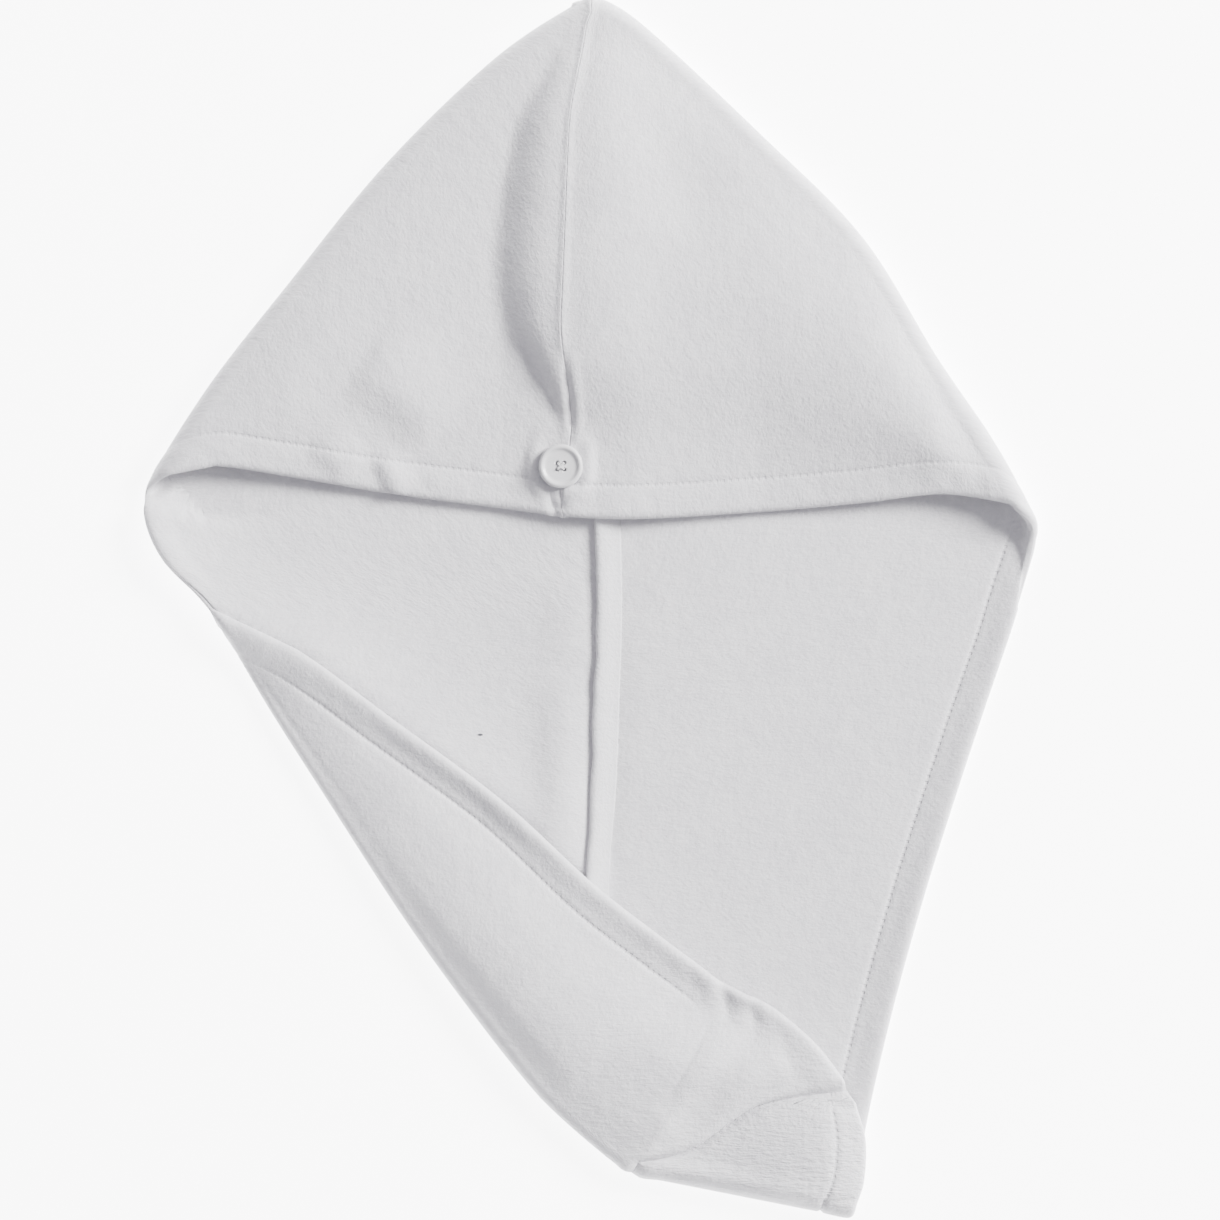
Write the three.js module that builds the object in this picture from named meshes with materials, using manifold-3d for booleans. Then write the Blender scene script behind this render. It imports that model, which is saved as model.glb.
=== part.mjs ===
// A hair turban towel lying flat: two mirrored fleece panels, joined by one centre seam that
// runs from the nape up to the hood's tip and back down to the end of the tail.
// The hood is folded up over the lower layer, and the tail is turned over at the bottom left.
// Millimetres, +Z up from the surface it lies on, the hood's tip towards +Y.
import * as THREE from 'three';
import { mergeVertices } from 'three/addons/utils/BufferGeometryUtils.js';
import Module from 'manifold-3d';

// Sizes that can be set
const lyingWidth = 438;
const lyingLength = 597;
const wall = 2.4;
const clearance = 0.3;
const hemWidth = 16.5;
const hemLift = 9;
const seamWidth = 9.5;
const seamThick = 3.4;
const hoodRoll = 7.5;
const hoodLoft = 4.5;
const tailRoll = 6.2;
const buttonWidth = 21.5;
const buttonThick = 3.4;
const buttonRim = 2.7;
const buttonDish = 1.1;
const buttonRound = 0.95;
const buttonBow = 0.15;
const holeWidth = 2;
const holeSpacing = 3.2;
const threadWidth = 1.3;
const strandThick = 1;
const shankHeight = 1.2;

// Colours
const fleeceWhite = 0xe2e2e7;
const seamWhite = 0xe8e8ec;
const buttonWhite = 0xf0f0f1;
const threadWhite = 0xdedee0;

// Heights of the middle of the cloth: on the surface, and of a hem that lies on one layer,
// on the seam allowance or on another hem
const onFloor = wall / 2;
const foldedIn = wall;
const onCloth = wall + clearance + foldedIn + wall / 2;
const onSeam = onCloth + seamThick + clearance;
const onHem = onCloth + foldedIn;

// Sections across the towel, from the nape to the end of the tail.
// rows: grid rows up to the next section. keel: where the section meets the centre seam.
// edge: the hemmed edge, or none where the edge stays on the roll. rim: the outline.
// roll: the radius at the rim, as a share of hoodRoll, or of tailRoll on the tail.
// rest and lift: what the edge lies on, and how far above it, as a share of hemLift.
// puff: how far the upper layer swells between edge and rim, as a share of hoodLoft.
// All [x, y] are shares of lyingWidth and lyingLength from the middle.
const sections = [
  {
    rows: 5,
    keel: [0.002, 0.457],
    left: { edge: [-0.031, 0.074], rim: [0.001, 0.5], rest: onSeam, lift: 0.04, puff: 0.3 },
    right: { edge: [-0.031, 0.074], rim: [0.001, 0.5], rest: onSeam, lift: 0.04, puff: 0.3 },
  },
  {
    rows: 4,
    keel: [0.006, 0.416],
    left: { edge: [-0.101, 0.081], rim: [-0.101, 0.451], rest: onCloth, lift: 0.12, puff: 1 },
    right: { edge: [0.051, 0.072], rim: [0.055, 0.477], rest: onSeam, lift: 0.04, puff: 0.7 },
  },
  {
    rows: 3,
    keel: [0.013, 0.367],
    left: { edge: [-0.227, 0.093], rim: [-0.227, 0.362], rest: onCloth, lift: 0.15, puff: 1 },
    right: { edge: [0.19, 0.078], rim: [0.193, 0.383], rest: onCloth, lift: 0.15, puff: 1 },
  },
  {
    rows: 3,
    keel: [0.019, 0.309],
    left: { edge: [-0.34, 0.107], rim: [-0.34, 0.26], rest: onCloth, lift: 0.55, puff: 0.6 },
    right: { edge: [0.301, 0.085], rim: [0.303, 0.301], rest: onCloth, lift: 0.45, puff: 0.9 },
  },
  {
    rows: 5,
    keel: [0.023, 0.252],
    left: { edge: [-0.419, 0.115], rim: [-0.421, 0.184], rest: onCloth, lift: 0.95, puff: 0.1 },
    right: { edge: [0.385, 0.092], rim: [0.385, 0.204], rest: onCloth, lift: 0.85, puff: 0.5 },
  },
  {
    rows: 3,
    keel: [0.025, 0.195],
    left: { rim: [-0.473, 0.123], rest: onCloth, lift: 1.1 },
    right: { edge: [0.441, 0.088], rim: [0.447, 0.137], rest: onCloth, lift: 1, puff: 0.1 },
  },
  {
    rows: 2,
    keel: [0.026, 0.137],
    left: { rim: [-0.5, 0.08], roll: 1.4, rest: onCloth, lift: 0.5 },
    right: { rim: [0.483, 0.089], rest: onCloth, lift: 1.1 },
  },
  {
    rows: 3,
    keel: [0.029, 0.055],
    left: { rim: [-0.478, 0.022], roll: 1.4, rest: onCloth, lift: 0.5 },
    right: { rim: [0.498, 0.055], roll: 1.2, rest: onCloth, lift: 0.25 },
  },
  {
    rows: 4,
    keel: [0.03, -0.011],
    left: { rim: [-0.423, -0.002], roll: 0.9, rest: onCloth, lift: 0.95 },
    right: { rim: [0.48, -0.002], flat: 1 },
  },
  {
    rows: 2,
    keel: [0.027, -0.076],
    left: { edge: [-0.328, -0.034], rim: [-0.364, -0.076], rest: onCloth, lift: 0.35, tail: 1 },
    right: { rim: [0.442, -0.085], flat: 1 },
  },
  {
    rows: 1,
    keel: [0.024, -0.142],
    left: { edge: [-0.221, -0.091], rim: [-0.29, -0.161], rest: onCloth, lift: 0.12, tail: 1 },
    right: { rim: [0.41, -0.156], flat: 1 },
  },
  {
    rows: 1,
    keel: [0.016, -0.224],
    left: { edge: [-0.1, -0.157], rim: [-0.202, -0.26], rest: onCloth, lift: 0.14, tail: 1 },
    right: { rim: [0.374, -0.24], flat: 1 },
  },
  {
    rows: 1,
    keel: [0.017, -0.31],
    left: { edge: [0.003, -0.226], rim: [-0.116, -0.346], rest: onSeam, lift: 0.05, tail: 1 },
    right: { rim: [0.337, -0.339], flat: 1 },
  },
  {
    rows: 2,
    keel: [0.029, -0.392],
    left: { edge: [0.078, -0.269], rim: [-0.054, -0.402], rest: onSeam, lift: 0.03, tail: 1 },
    right: { rim: [0.309, -0.429], flat: 1 },
  },
  {
    rows: 3,
    left: { edge: [0.125, -0.295], rim: [-0.011, -0.433], rest: onCloth, lift: 0.15, tail: 1 },
    right: {},
  },
  {
    rows: 3,
    left: { edge: [0.146, -0.307], rim: [0.011, -0.446], rest: onCloth, lift: 0.12, tail: 1 },
    right: {},
  },
  {
    rows: 2,
    left: { edge: [0.173, -0.317], rest: onCloth, lift: 0.12 },
    right: {},
  },
  {
    rows: 1,
    keel: [0.111, -0.445],
    keelRest: onHem,
    keelLift: 0.25,
    left: { edge: [0.206, -0.329], rest: onCloth, lift: 0.12 },
    right: { edge: [0.306, -0.47], rest: onHem, lift: 0.3 },
  },
  {
    rows: 2,
    keel: [0.184, -0.41],
    keelRest: onHem,
    keelLift: 0.08,
    left: { edge: [0.251, -0.357], rest: onHem, lift: 0.05 },
    right: { edge: [0.308, -0.437], rest: onHem, lift: 0.12 },
  },
  {
    rows: 0,
    keel: [0.286, -0.396],
    keelRest: onHem,
    keelLift: 0.12,
    left: { edge: [0.281, -0.385], rest: onHem, lift: 0.12 },
    right: { edge: [0.297, -0.408], rest: onHem, lift: 0.12 },
  },
];

// Which sections the folds begin and end at
const firstTail = 9;
const lastPressed = 5;
const leftOffRoll = 13;
const bottomFold = { from: 14, to: 16 };
const rightFlat = 8;

// The seam's sideways wander between the nape and the tip: share of the way, and of lyingWidth
const seamWander = [
  { way: 0, shift: 0 },
  { way: 0.17, shift: 0.004 },
  { way: 0.4, shift: -0.014 },
  { way: 0.77, shift: -0.017 },
  { way: 0.975, shift: -0.005 },
  { way: 1, shift: 0 },
];

// Where the keel turns over at the bottom, and which way it runs there
const bump = [0.046, -0.464];
const bumpWay = new THREE.Vector2(0.458, 0.889);
const bottomCorner = [0.294, -0.5];
const apexCosine = 0.84;
const cornerCosine = 0.97;
const cornerWay = new THREE.Vector2(0.2, 0.98);

// How far from the nape, in sections, the roll takes to turn from the tip to the outline, and
// over which shares of a row its folds fade out at the hem and at the roll
const tipBlend = 0.6;
const fadeAtHem = 0.12;
const fadeAtRoll = 0.15;

// Points along each part of a row before the grid is laid on it, and the shortest part
const fineSteps = 40;
const shortestPart = 0.5;

// Folds in the hood's upper layer. depth is a share of hoodLoft, and the widths to its
// left and right are shares of lyingWidth.
const hoodFolds = [
  {
    path: [[-0.016, 0.47], [-0.058, 0.384], [-0.09, 0.294], [-0.082, 0.231], [-0.037, 0.155]],
    depth: -1.45,
    left: 0.018,
    right: 0.055,
  },
  { path: [[0.05, 0.43], [0.12, 0.34], [0.2, 0.24]], depth: -0.45, left: 0.04, right: 0.05 },
  { path: [[-0.29, 0.2], [-0.25, 0.17], [-0.2, 0.13]], depth: -0.5, left: 0.025, right: 0.03 },
];

const place = ([x, y]) => new THREE.Vector2(x * lyingWidth, y * lyingLength);

// A value between two sections, on a smooth curve through their neighbours
function smooth(values, r) {
  const last = values.length - 1;
  const i = Math.min(Math.floor(r), last - 1);
  const t = r - i;
  const [a, b, c, d] = [i - 1, i, i + 1, i + 2].map((k) => values[THREE.MathUtils.clamp(k, 0, last)]);
  return b + 0.5 * t * (c - a + t * (2 * a - 5 * b + 4 * c - d + t * (3 * (b - c) + d - a)));
}

function straight(values, r) {
  const i = Math.min(Math.floor(r), values.length - 2);
  return THREE.MathUtils.lerp(values[i], values[i + 1], r - i);
}

function smoothPlace(points, r) {
  return new THREE.Vector2(
    smooth(points.map((p) => p.x), r),
    smooth(points.map((p) => p.y), r),
  );
}

const ease = (t) => THREE.MathUtils.smoothstep(t, 0, 1);
const radians = THREE.MathUtils.degToRad;

// The bottom fold, on which both panels and the seam turn over
const bumpReach = bumpWay.clone().normalize().multiplyScalar(tailRoll / cornerCosine);
const cornerReach = cornerWay.clone().multiplyScalar(tailRoll);

// A point on a roll: outermost at 90 degrees, on top at 0, on the surface at 180
function onRoll(rim, reach, radius, degrees) {
  const turn = radians(degrees);
  const inward = 1 - Math.sin(turn);
  return new THREE.Vector3(
    rim.x + reach.x * inward,
    rim.y + reach.y * inward,
    onFloor + radius * (1 + Math.cos(turn)),
  );
}

function bottomTurn(r) {
  const span = bottomFold.to - bottomFold.from;
  return 180 * (1 - (r - bottomFold.from) / span);
}

const bumpPlan = place(bump).add(bumpReach);
const keelPlan = sections.map((s) => (s.keel ? place(s.keel) : bumpPlan));
const topOfRoll = onFloor + 2 * tailRoll;
const keelHeight = sections.map((s) => (s.keelRest ? s.keelRest + s.keelLift * hemLift : topOfRoll));

// Where a row meets the centre seam
function keelPoint(r) {
  if (r >= bottomFold.from && r <= bottomFold.to) {
    return onRoll(place(bump), bumpReach, tailRoll, bottomTurn(r));
  }
  const plan = smoothPlace(keelPlan, r);
  const z = r < bottomFold.from ? onFloor : straight(keelHeight, r);
  return new THREE.Vector3(plan.x, plan.y, z);
}

// One side's columns, drawn out of the sections
function columns(side) {
  const list = sections.map((s) => s[side]);
  const bumpPlace = place(bump);
  const rims = list.map((c) => (c.rim ? place(c.rim) : bumpPlace));
  const rolls = list.map((c) => {
    const full = c.tail || c.rim === undefined ? tailRoll : hoodRoll;
    return c.flat ? 0 : full * (c.roll ?? 1);
  });
  const puffs = list.map((c) => (c.puff ?? 0) * hoodLoft);
  const heights = list.map((c) => (c.rest ? c.rest + c.lift * hemLift : onFloor));
  const turns = list.map((c, i) => (c.edge || i >= firstTail ? 0 : edgeTurn(heights[i], rolls[i])));
  return { side, list, rims, rolls, puffs, heights, turns };
}

// The roll that a row passes round: where it starts and ends, and how far each end reaches in
function rollOf(col, r) {
  const step = 0.01;
  const rim = smoothPlace(col.rims, r);
  const low = Math.max(r - step, 0);
  const along = smoothPlace(col.rims, low + 2 * step).sub(smoothPlace(col.rims, low)).normalize();
  const inward = col.side === 'left'
    ? new THREE.Vector2(-along.y, along.x)
    : new THREE.Vector2(along.y, -along.x);
  const radius = straight(col.rolls, r);
  const apexReach = new THREE.Vector2(0, -radius / apexCosine);
  const reach = apexReach.lerp(inward.multiplyScalar(radius), Math.min(1, r / tipBlend));
  const end = { rim: rim.clone(), reach: reach.clone(), turn: 180 };
  if (col.side === 'left' && r > leftOffRoll) {
    const nearBump = Math.min(1, r - leftOffRoll);
    end.rim.lerp(place(bump), nearBump);
    end.reach.lerp(bumpReach, nearBump);
    if (r > bottomFold.from) {
      end.turn = bottomTurn(r);
      reach.lerp(bumpReach, (r - bottomFold.from) / (bottomFold.to - bottomFold.from));
    }
  }
  return { start: { rim, reach, turn: straight(col.turns, r) }, end, radius };
}

// How far round a roll an edge lies that ends at a height, in degrees from the top
function edgeTurn(height, radius) {
  const cosine = (height - onFloor) / Math.max(radius, 0.01) - 1;
  return THREE.MathUtils.radToDeg(Math.acos(THREE.MathUtils.clamp(cosine, -1, 1)));
}

// Where the hemmed edge of a section lies, in all three directions
function edgePoint(col, index) {
  const c = col.list[index];
  if (c.edge) {
    const plan = place(c.edge);
    return new THREE.Vector3(plan.x, plan.y, col.heights[index]);
  }
  const { start, radius } = rollOf(col, index);
  return onRoll(start.rim, start.reach, radius, start.turn);
}

const foldCurves = hoodFolds.map((fold) => {
  const points = fold.path.map((p) => new THREE.Vector3(...place(p).toArray(), 0));
  return new THREE.CatmullRomCurve3(points, false, 'centripetal').getPoints(fineSteps);
});

// How far the folds push the hood's upper layer down at a point
function relief(x, y) {
  let depth = 0;
  hoodFolds.forEach((fold, k) => {
    const line = foldCurves[k];
    let best = { distance: Infinity };
    line.forEach((p, i) => {
      const distance = Math.hypot(x - p.x, y - p.y);
      if (distance < best.distance) {
        best = { distance, i };
      }
    });
    const before = line[Math.max(best.i - 1, 0)];
    const after = line[Math.min(best.i + 1, line.length - 1)];
    const side = (after.x - before.x) * (y - before.y) - (after.y - before.y) * (x - before.x);
    const width = (side > 0 ? fold.right : fold.left) * lyingWidth;
    const taper = Math.sin((Math.PI * (best.i + 0.5)) / line.length);
    depth += fold.depth * hoodLoft * taper * Math.exp(-((best.distance / width) ** 2));
  });
  return depth;
}

// The upper layer, from the hemmed edge to the top of the roll
function upperLayer(edge, top, puff, wander, pressed) {
  const points = [];
  for (let k = 0; k <= fineSteps; k += 1) {
    const t = k / fineSteps;
    const p = edge.clone().lerp(top, t);
    p.z = THREE.MathUtils.lerp(edge.z, top.z, ease(t)) + puff * Math.sin(Math.PI * t) ** 2;
    p.x += wander * wanderAt(t) * lyingWidth;
    if (pressed) {
      p.z += ease((1 - t) / fadeAtRoll) * ease(t / fadeAtHem) * relief(p.x, p.y);
    }
    points.push(p);
  }
  return points;
}

function wanderAt(way) {
  const next = Math.max(1, seamWander.findIndex((w) => w.way >= way));
  const [a, b] = [seamWander[next - 1], seamWander[next]];
  return THREE.MathUtils.lerp(a.shift, b.shift, ease((way - a.way) / (b.way - a.way)));
}

function rollLayer({ start, end, radius }) {
  const points = [];
  for (let k = 0; k <= fineSteps; k += 1) {
    const t = k / fineSteps;
    const turn = THREE.MathUtils.lerp(start.turn, end.turn, t);
    const share = end.turn > 0 ? turn / end.turn : 1;
    const rim = start.rim.clone().lerp(end.rim, share);
    const reach = start.reach.clone().lerp(end.reach, share);
    points.push(onRoll(rim, reach, radius, turn));
  }
  return points;
}

function line(a, b) {
  return Array.from({ length: fineSteps + 1 }, (_, k) => a.clone().lerp(b, k / fineSteps));
}

// A row of cloth from the hemmed edge to the centre seam: its upper layer, roll and lower layer
function rowOf(col, edges, r) {
  const left = col.side === 'left';
  const keel = keelPoint(r);
  const index = Math.min(Math.floor(r), sections.length - 2);
  if (r > bottomFold.to || (!left && r >= rightFlat)) {
    return plainRow(col, edges, r, index, keel);
  }
  const roll = rollOf(col, r);
  const onTop = onRoll(roll.start.rim, roll.start.reach, roll.radius, roll.start.turn);
  const parts = [];
  if (roll.start.turn < 1) {
    const edge = new THREE.Vector3(
      smooth(edges.map((p) => p.x), r),
      smooth(edges.map((p) => p.y), r),
      straight(edges.map((p) => p.z), r),
    );
    if (!col.list[index].edge || !col.list[index + 1].edge) {
      edge.lerpVectors(edges[index], edges[index + 1], r - index);
    }
    const pressed = r < lastPressed;
    const upper = upperLayer(edge, onTop, straight(col.puffs, r), Math.max(0, 1 - r), pressed);
    if (edge.distanceTo(onTop) > shortestPart) {
      parts.push({ part: 'upper', points: upper });
    }
  }
  if (roll.end.turn > roll.start.turn + 1 && roll.radius > shortestPart) {
    parts.push({ part: 'roll', points: rollLayer(roll) });
  }
  const foot = onRoll(roll.end.rim, roll.end.reach, roll.radius, roll.end.turn);
  if (foot.distanceTo(keel) > shortestPart) {
    parts.push({ part: 'lower', points: line(foot, keel) });
  }
  return parts;
}

// A row with no roll of its own: along the lower layer, round the bottom fold, or on the tail
function plainRow(col, edges, r, index, keel) {
  let edge;
  if (col.side === 'right' && r >= bottomFold.from && r <= bottomFold.to) {
    edge = onRoll(place(bottomCorner), cornerReach, tailRoll, bottomTurn(r));
  } else {
    const plan = smoothPlace(edges, r);
    const z = straight(edges.map((p) => p.z), r);
    edge = new THREE.Vector3(plan.x, plan.y, z);
  }
  return [{ part: col.side === 'left' ? 'upper' : 'lower', points: line(edge, keel) }];
}

// Grid squares across each part of a row
const hemSteps = [0, 0.12, 0.41, 0.7, 1, 1.12];
const hemColumns = hemSteps.length - 1;
const squares = { upper: 9, roll: 6, lower: 3 };
const columnCount = hemSteps.length + squares.upper + squares.roll + squares.lower + 1;
const leastSquare = 0.6;

// The most of a row's length that its hem, its seam allowance and its least squares take
const mostHem = 0.5;
const mostSeam = 0.15;
const mostLeast = 0.6;

// Each part keeps at least its least width, and the wider ones give what that takes
function widened(spans, least) {
  const spare = spans.map((span, k) => Math.max(0, span - least[k]));
  const short = spans.reduce((sum, span, k) => sum + Math.max(0, least[k] - span), 0);
  const factor = 1 - short / spare.reduce((a, b) => a + b);
  return spans.map((span, k) => least[k] + spare[k] * factor);
}

// Points along a row: across the hem, then evenly along each part, with the last square as
// wide as the seam allowance
function sampleRow(parts) {
  const fine = [];
  const partLength = { upper: 0, roll: 0, lower: 0 };
  let length = 0;
  parts.forEach(({ part, points }) => {
    points.forEach((p, k) => {
      if (k > 0) {
        const step = p.distanceTo(points[k - 1]);
        length += step;
        partLength[part] += step;
      }
      if (fine.length === 0 || k > 0) {
        fine.push({ p, length });
      }
    });
  });
  const find = (value) => {
    const next = THREE.MathUtils.clamp(fine.findIndex((f) => f.length >= value), 1, fine.length - 1);
    const [a, b] = [fine[next - 1], fine[next]];
    const t = THREE.MathUtils.clamp((value - a.length) / Math.max(b.length - a.length, 1e-9), 0, 1);
    return a.p.clone().lerp(b.p, t);
  };
  const hem = Math.min(hemWidth, mostHem * length);
  const seam = Math.min(seamWidth, mostSeam * length);
  const hemEnd = hem * hemSteps[hemSteps.length - 1];
  const within = (value) => THREE.MathUtils.clamp(value, hemEnd, length - seam);
  const upperEnd = within(partLength.upper);
  const rollEnd = within(partLength.upper + partLength.roll);
  const counts = [squares.upper, squares.roll, squares.lower];
  const open = length - seam - hemEnd;
  const least = counts.map((n) => n * Math.min(leastSquare, (mostLeast * open) / (columnCount - 1)));
  const spans = widened([upperEnd - hemEnd, rollEnd - upperEnd, length - seam - rollEnd], least);
  const row = hemSteps.map((share) => find(share * hem));
  let from = hemEnd;
  counts.forEach((count, part) => {
    for (let k = 1; k <= count; k += 1) {
      row.push(find(from + (spans[part] * k) / count));
    }
    from += spans[part];
  });
  row.push(fine[fine.length - 1].p.clone());
  return row;
}

// The rows' places among the sections. The second row lies a seam allowance from the first.
function rowPlaces() {
  const first = place(sections[0].left.edge);
  const second = place(sections[1].left.edge);
  const places = [0, seamWidth / first.distanceTo(second)];
  sections.forEach((s, i) => {
    const from = i === 0 ? places[1] : i;
    const rows = i === 0 ? s.rows - 1 : s.rows;
    for (let k = 1; k <= rows; k += 1) {
      places.push(THREE.MathUtils.lerp(from, i + 1, k / rows));
    }
  });
  return places;
}

// The middle of the cloth as a grid of points, with the outward direction at each
function clothGrid(side) {
  const col = columns(side);
  const edges = sections.map((_, i) => edgeOfSection(col, i));
  const grid = rowPlaces().map((r) => sampleRow(rowOf(col, edges, r)));
  const flip = side === 'left' ? -1 : 1;
  const normals = grid.map((row, i) => row.map((_, j) => {
    const down = grid[Math.min(i + 1, grid.length - 1)][j].clone().sub(grid[Math.max(i - 1, 0)][j]);
    const across = row[Math.min(j + 1, row.length - 1)].clone().sub(row[Math.max(j - 1, 0)]);
    return down.cross(across).normalize().multiplyScalar(flip);
  }));
  // The corner at the tip lies in the middle of the seam, so it turns as its neighbours do
  const last = columnCount - 1;
  normals[0][last].addVectors(normals[0][last - 1], normals[1][last]).normalize();
  return { side, grid, normals };
}

function edgeOfSection(col, i) {
  if (col.side === 'right' && i >= rightFlat && i < bottomFold.from) {
    const rim = col.rims[i];
    return new THREE.Vector3(rim.x, rim.y, onFloor);
  }
  if (col.side === 'right' && i >= bottomFold.from && i <= bottomFold.to) {
    return onRoll(place(bottomCorner), cornerReach, tailRoll, bottomTurn(i));
  }
  return edgePoint(col, i);
}

// Both panels turn the same way where they are sewn together, half a clearance apart
function sew(a, b) {
  const last = columnCount - 1;
  const shared = [];
  a.grid[0].forEach((_, j) => shared.push([0, j, 1, Math.min(j, last - 1)]));
  a.grid.forEach((_, i) => i > 0 && shared.push([i, last, i, last - 1]));
  shared.forEach(([i, j, nextI, nextJ]) => {
    const common = a.normals[i][j].clone().add(b.normals[i][j]).normalize();
    [a, b].forEach((cloth) => {
      cloth.normals[i][j].copy(common);
      const inward = cloth.grid[nextI][nextJ].clone().sub(cloth.grid[i][j]);
      inward.addScaledVector(common, -inward.dot(common)).normalize();
      cloth.shifts.push([i, j, inward.multiplyScalar(clearance / 2)]);
    });
  });
  [a, b].forEach((cloth) => cloth.shifts.forEach(([i, j, shift]) => cloth.grid[i][j].add(shift)));
}

// A closed skin round a grid of outer and inner points. Each square is split along its shorter
// diagonal, so that a fold which crosses the grid stays smooth.
function closedSheet(outer, inner, flip) {
  const rows = outer.length;
  const across = outer[0].length;
  const points = [...outer.flat(), ...inner.flat()];
  const index = [];
  const triangle = (a, b, c) => (flip ? index.push(a, c, b) : index.push(a, b, c));
  const quad = (a, b, c, d, other) => {
    triangle(a, b, other ? d : c);
    triangle(other ? b : a, c, d);
  };
  const top = (i, j) => i * across + j;
  const under = (i, j) => rows * across + i * across + j;
  const apart = (grid, i, j, k, l) => grid[i][j].distanceTo(grid[k][l]);
  for (let i = 0; i < rows - 1; i += 1) {
    for (let j = 0; j < across - 1; j += 1) {
      const one = [outer, inner].map((g) => apart(g, i, j, i + 1, j + 1)).reduce((a, b) => a + b);
      const two = [outer, inner].map((g) => apart(g, i + 1, j, i, j + 1)).reduce((a, b) => a + b);
      const other = two < one;
      quad(top(i, j), top(i + 1, j), top(i + 1, j + 1), top(i, j + 1), other);
      quad(under(i, j), under(i, j + 1), under(i + 1, j + 1), under(i + 1, j), other);
    }
    quad(top(i, 0), under(i, 0), under(i + 1, 0), top(i + 1, 0));
    quad(top(i, across - 1), top(i + 1, across - 1), under(i + 1, across - 1), under(i, across - 1));
  }
  for (let j = 0; j < across - 1; j += 1) {
    quad(top(0, j), top(0, j + 1), under(0, j + 1), under(0, j));
    quad(top(rows - 1, j), under(rows - 1, j), under(rows - 1, j + 1), top(rows - 1, j + 1));
  }
  const geometry = new THREE.BufferGeometry().setFromPoints(points);
  geometry.setIndex(index);
  geometry.computeVertexNormals();
  return geometry;
}

const off = (point, normal, distance) => point.clone().addScaledVector(normal, distance);

// A panel: the cloth's thickness about its middle, twice as thick inside where the hem is turned in
function panelGeometry({ side, grid, normals }) {
  const rounding = wall / 2;
  const outer = grid.map((row, i) => row.map((p, j) => {
    const thick = j === 0 ? wall / 2 - rounding : wall / 2;
    return off(p, normals[i][j], thick);
  }));
  const inner = grid.map((row, i) => row.map((p, j) => {
    const folded = j < hemColumns ? foldedIn : 0;
    const rounded = j === 0 ? rounding : 0;
    return off(p, normals[i][j], rounded - wall / 2 - folded);
  }));
  return closedSheet(outer, inner, side === 'left');
}

// The seam allowance lies on the inner side of the left panel, all along the seam between the hems
function seamGeometry({ grid, normals }) {
  const last = columnCount - 1;
  const strip = [];
  for (let j = hemColumns; j < last - 1; j += 1) {
    strip.push([[0, j], [1, j]]);
  }
  // Round the corner of the grid, where both strands of the seam meet at the tip
  strip.push([[0, last - 1], [1, last - 1.2]]);
  strip.push([[0, last], [1, last - 1]]);
  strip.push([[1, last], [1.2, last - 1]]);
  const stop = rowPlaces().findIndex((r) => r > sections.length - 2);
  for (let i = 2; i <= stop; i += 1) {
    strip.push([[i, last], [i, last - 1]]);
  }
  const depth = wall / 2 + clearance;
  const at = ([i, j], distance) => {
    const low = off(grid[Math.floor(i)][Math.floor(j)], normals[Math.floor(i)][Math.floor(j)], -distance);
    const high = off(grid[Math.ceil(i)][Math.ceil(j)], normals[Math.ceil(i)][Math.ceil(j)], -distance);
    return low.lerp(high, i % 1 || j % 1);
  };
  const near = strip.map((pair) => pair.map((ij) => at(ij, depth)));
  const far = strip.map((pair) => pair.map((ij) => at(ij, depth + seamThick)));
  return closedSheet(near, far, false);
}

// Button and thread
const wasm = await Module();
wasm.setup();

function solidOf(geometry) {
  const bare = geometry.clone();
  bare.deleteAttribute('normal');
  bare.deleteAttribute('uv');
  const merged = mergeVertices(bare, 1e-5);
  const vertProperties = new Float32Array(merged.attributes.position.array);
  const triVerts = new Uint32Array(merged.index.array);
  return new wasm.Manifold(new wasm.Mesh({ numProp: 3, vertProperties, triVerts }));
}

function geometryOf(solid) {
  const mesh = solid.getMesh();
  const geometry = new THREE.BufferGeometry();
  geometry.setAttribute('position', new THREE.Float32BufferAttribute(mesh.vertProperties, 3));
  geometry.setIndex([...mesh.triVerts]);
  geometry.computeVertexNormals();
  return geometry;
}

const aroundButton = 28;
const aroundHole = 8;
const holePlaces = [[-1, -1], [1, -1], [1, 1], [-1, 1]].map(([x, y]) => [
  (x * holeSpacing) / 2,
  (y * holeSpacing) / 2,
]);

function post(width, low, high, [x, y]) {
  const geometry = new THREE.CylinderGeometry(width / 2, width / 2, high - low, aroundHole);
  geometry.rotateX(Math.PI / 2);
  geometry.translate(x, y, (low + high) / 2);
  return solidOf(geometry);
}

// The button's section: a flat back, a round rim and a dished middle
function buttonGeometry() {
  const radius = buttonWidth / 2;
  const part = buttonRound * (1 - Math.SQRT1_2);
  const inside = radius - buttonRim;
  const floor = buttonThick - buttonDish;
  const profile = [
    [0, 0],
    [radius - buttonRound, 0],
    [radius - part, part],
    [radius, buttonRound],
    [radius, buttonThick - buttonRound],
    [radius - part, buttonThick - part],
    [radius - buttonRim / 2, buttonThick],
    [inside, buttonThick - buttonDish / 3],
    [inside - buttonDish, floor],
    [0, floor - buttonBow],
  ].map(([x, y]) => new THREE.Vector2(x, y));
  const lathe = new THREE.LatheGeometry(profile, aroundButton);
  lathe.rotateX(Math.PI / 2);
  let solid = solidOf(lathe);
  holePlaces.forEach((spot) => {
    solid = solid.subtract(post(holeWidth, -1, buttonThick + 1, spot));
  });
  return geometryOf(solid);
}

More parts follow.
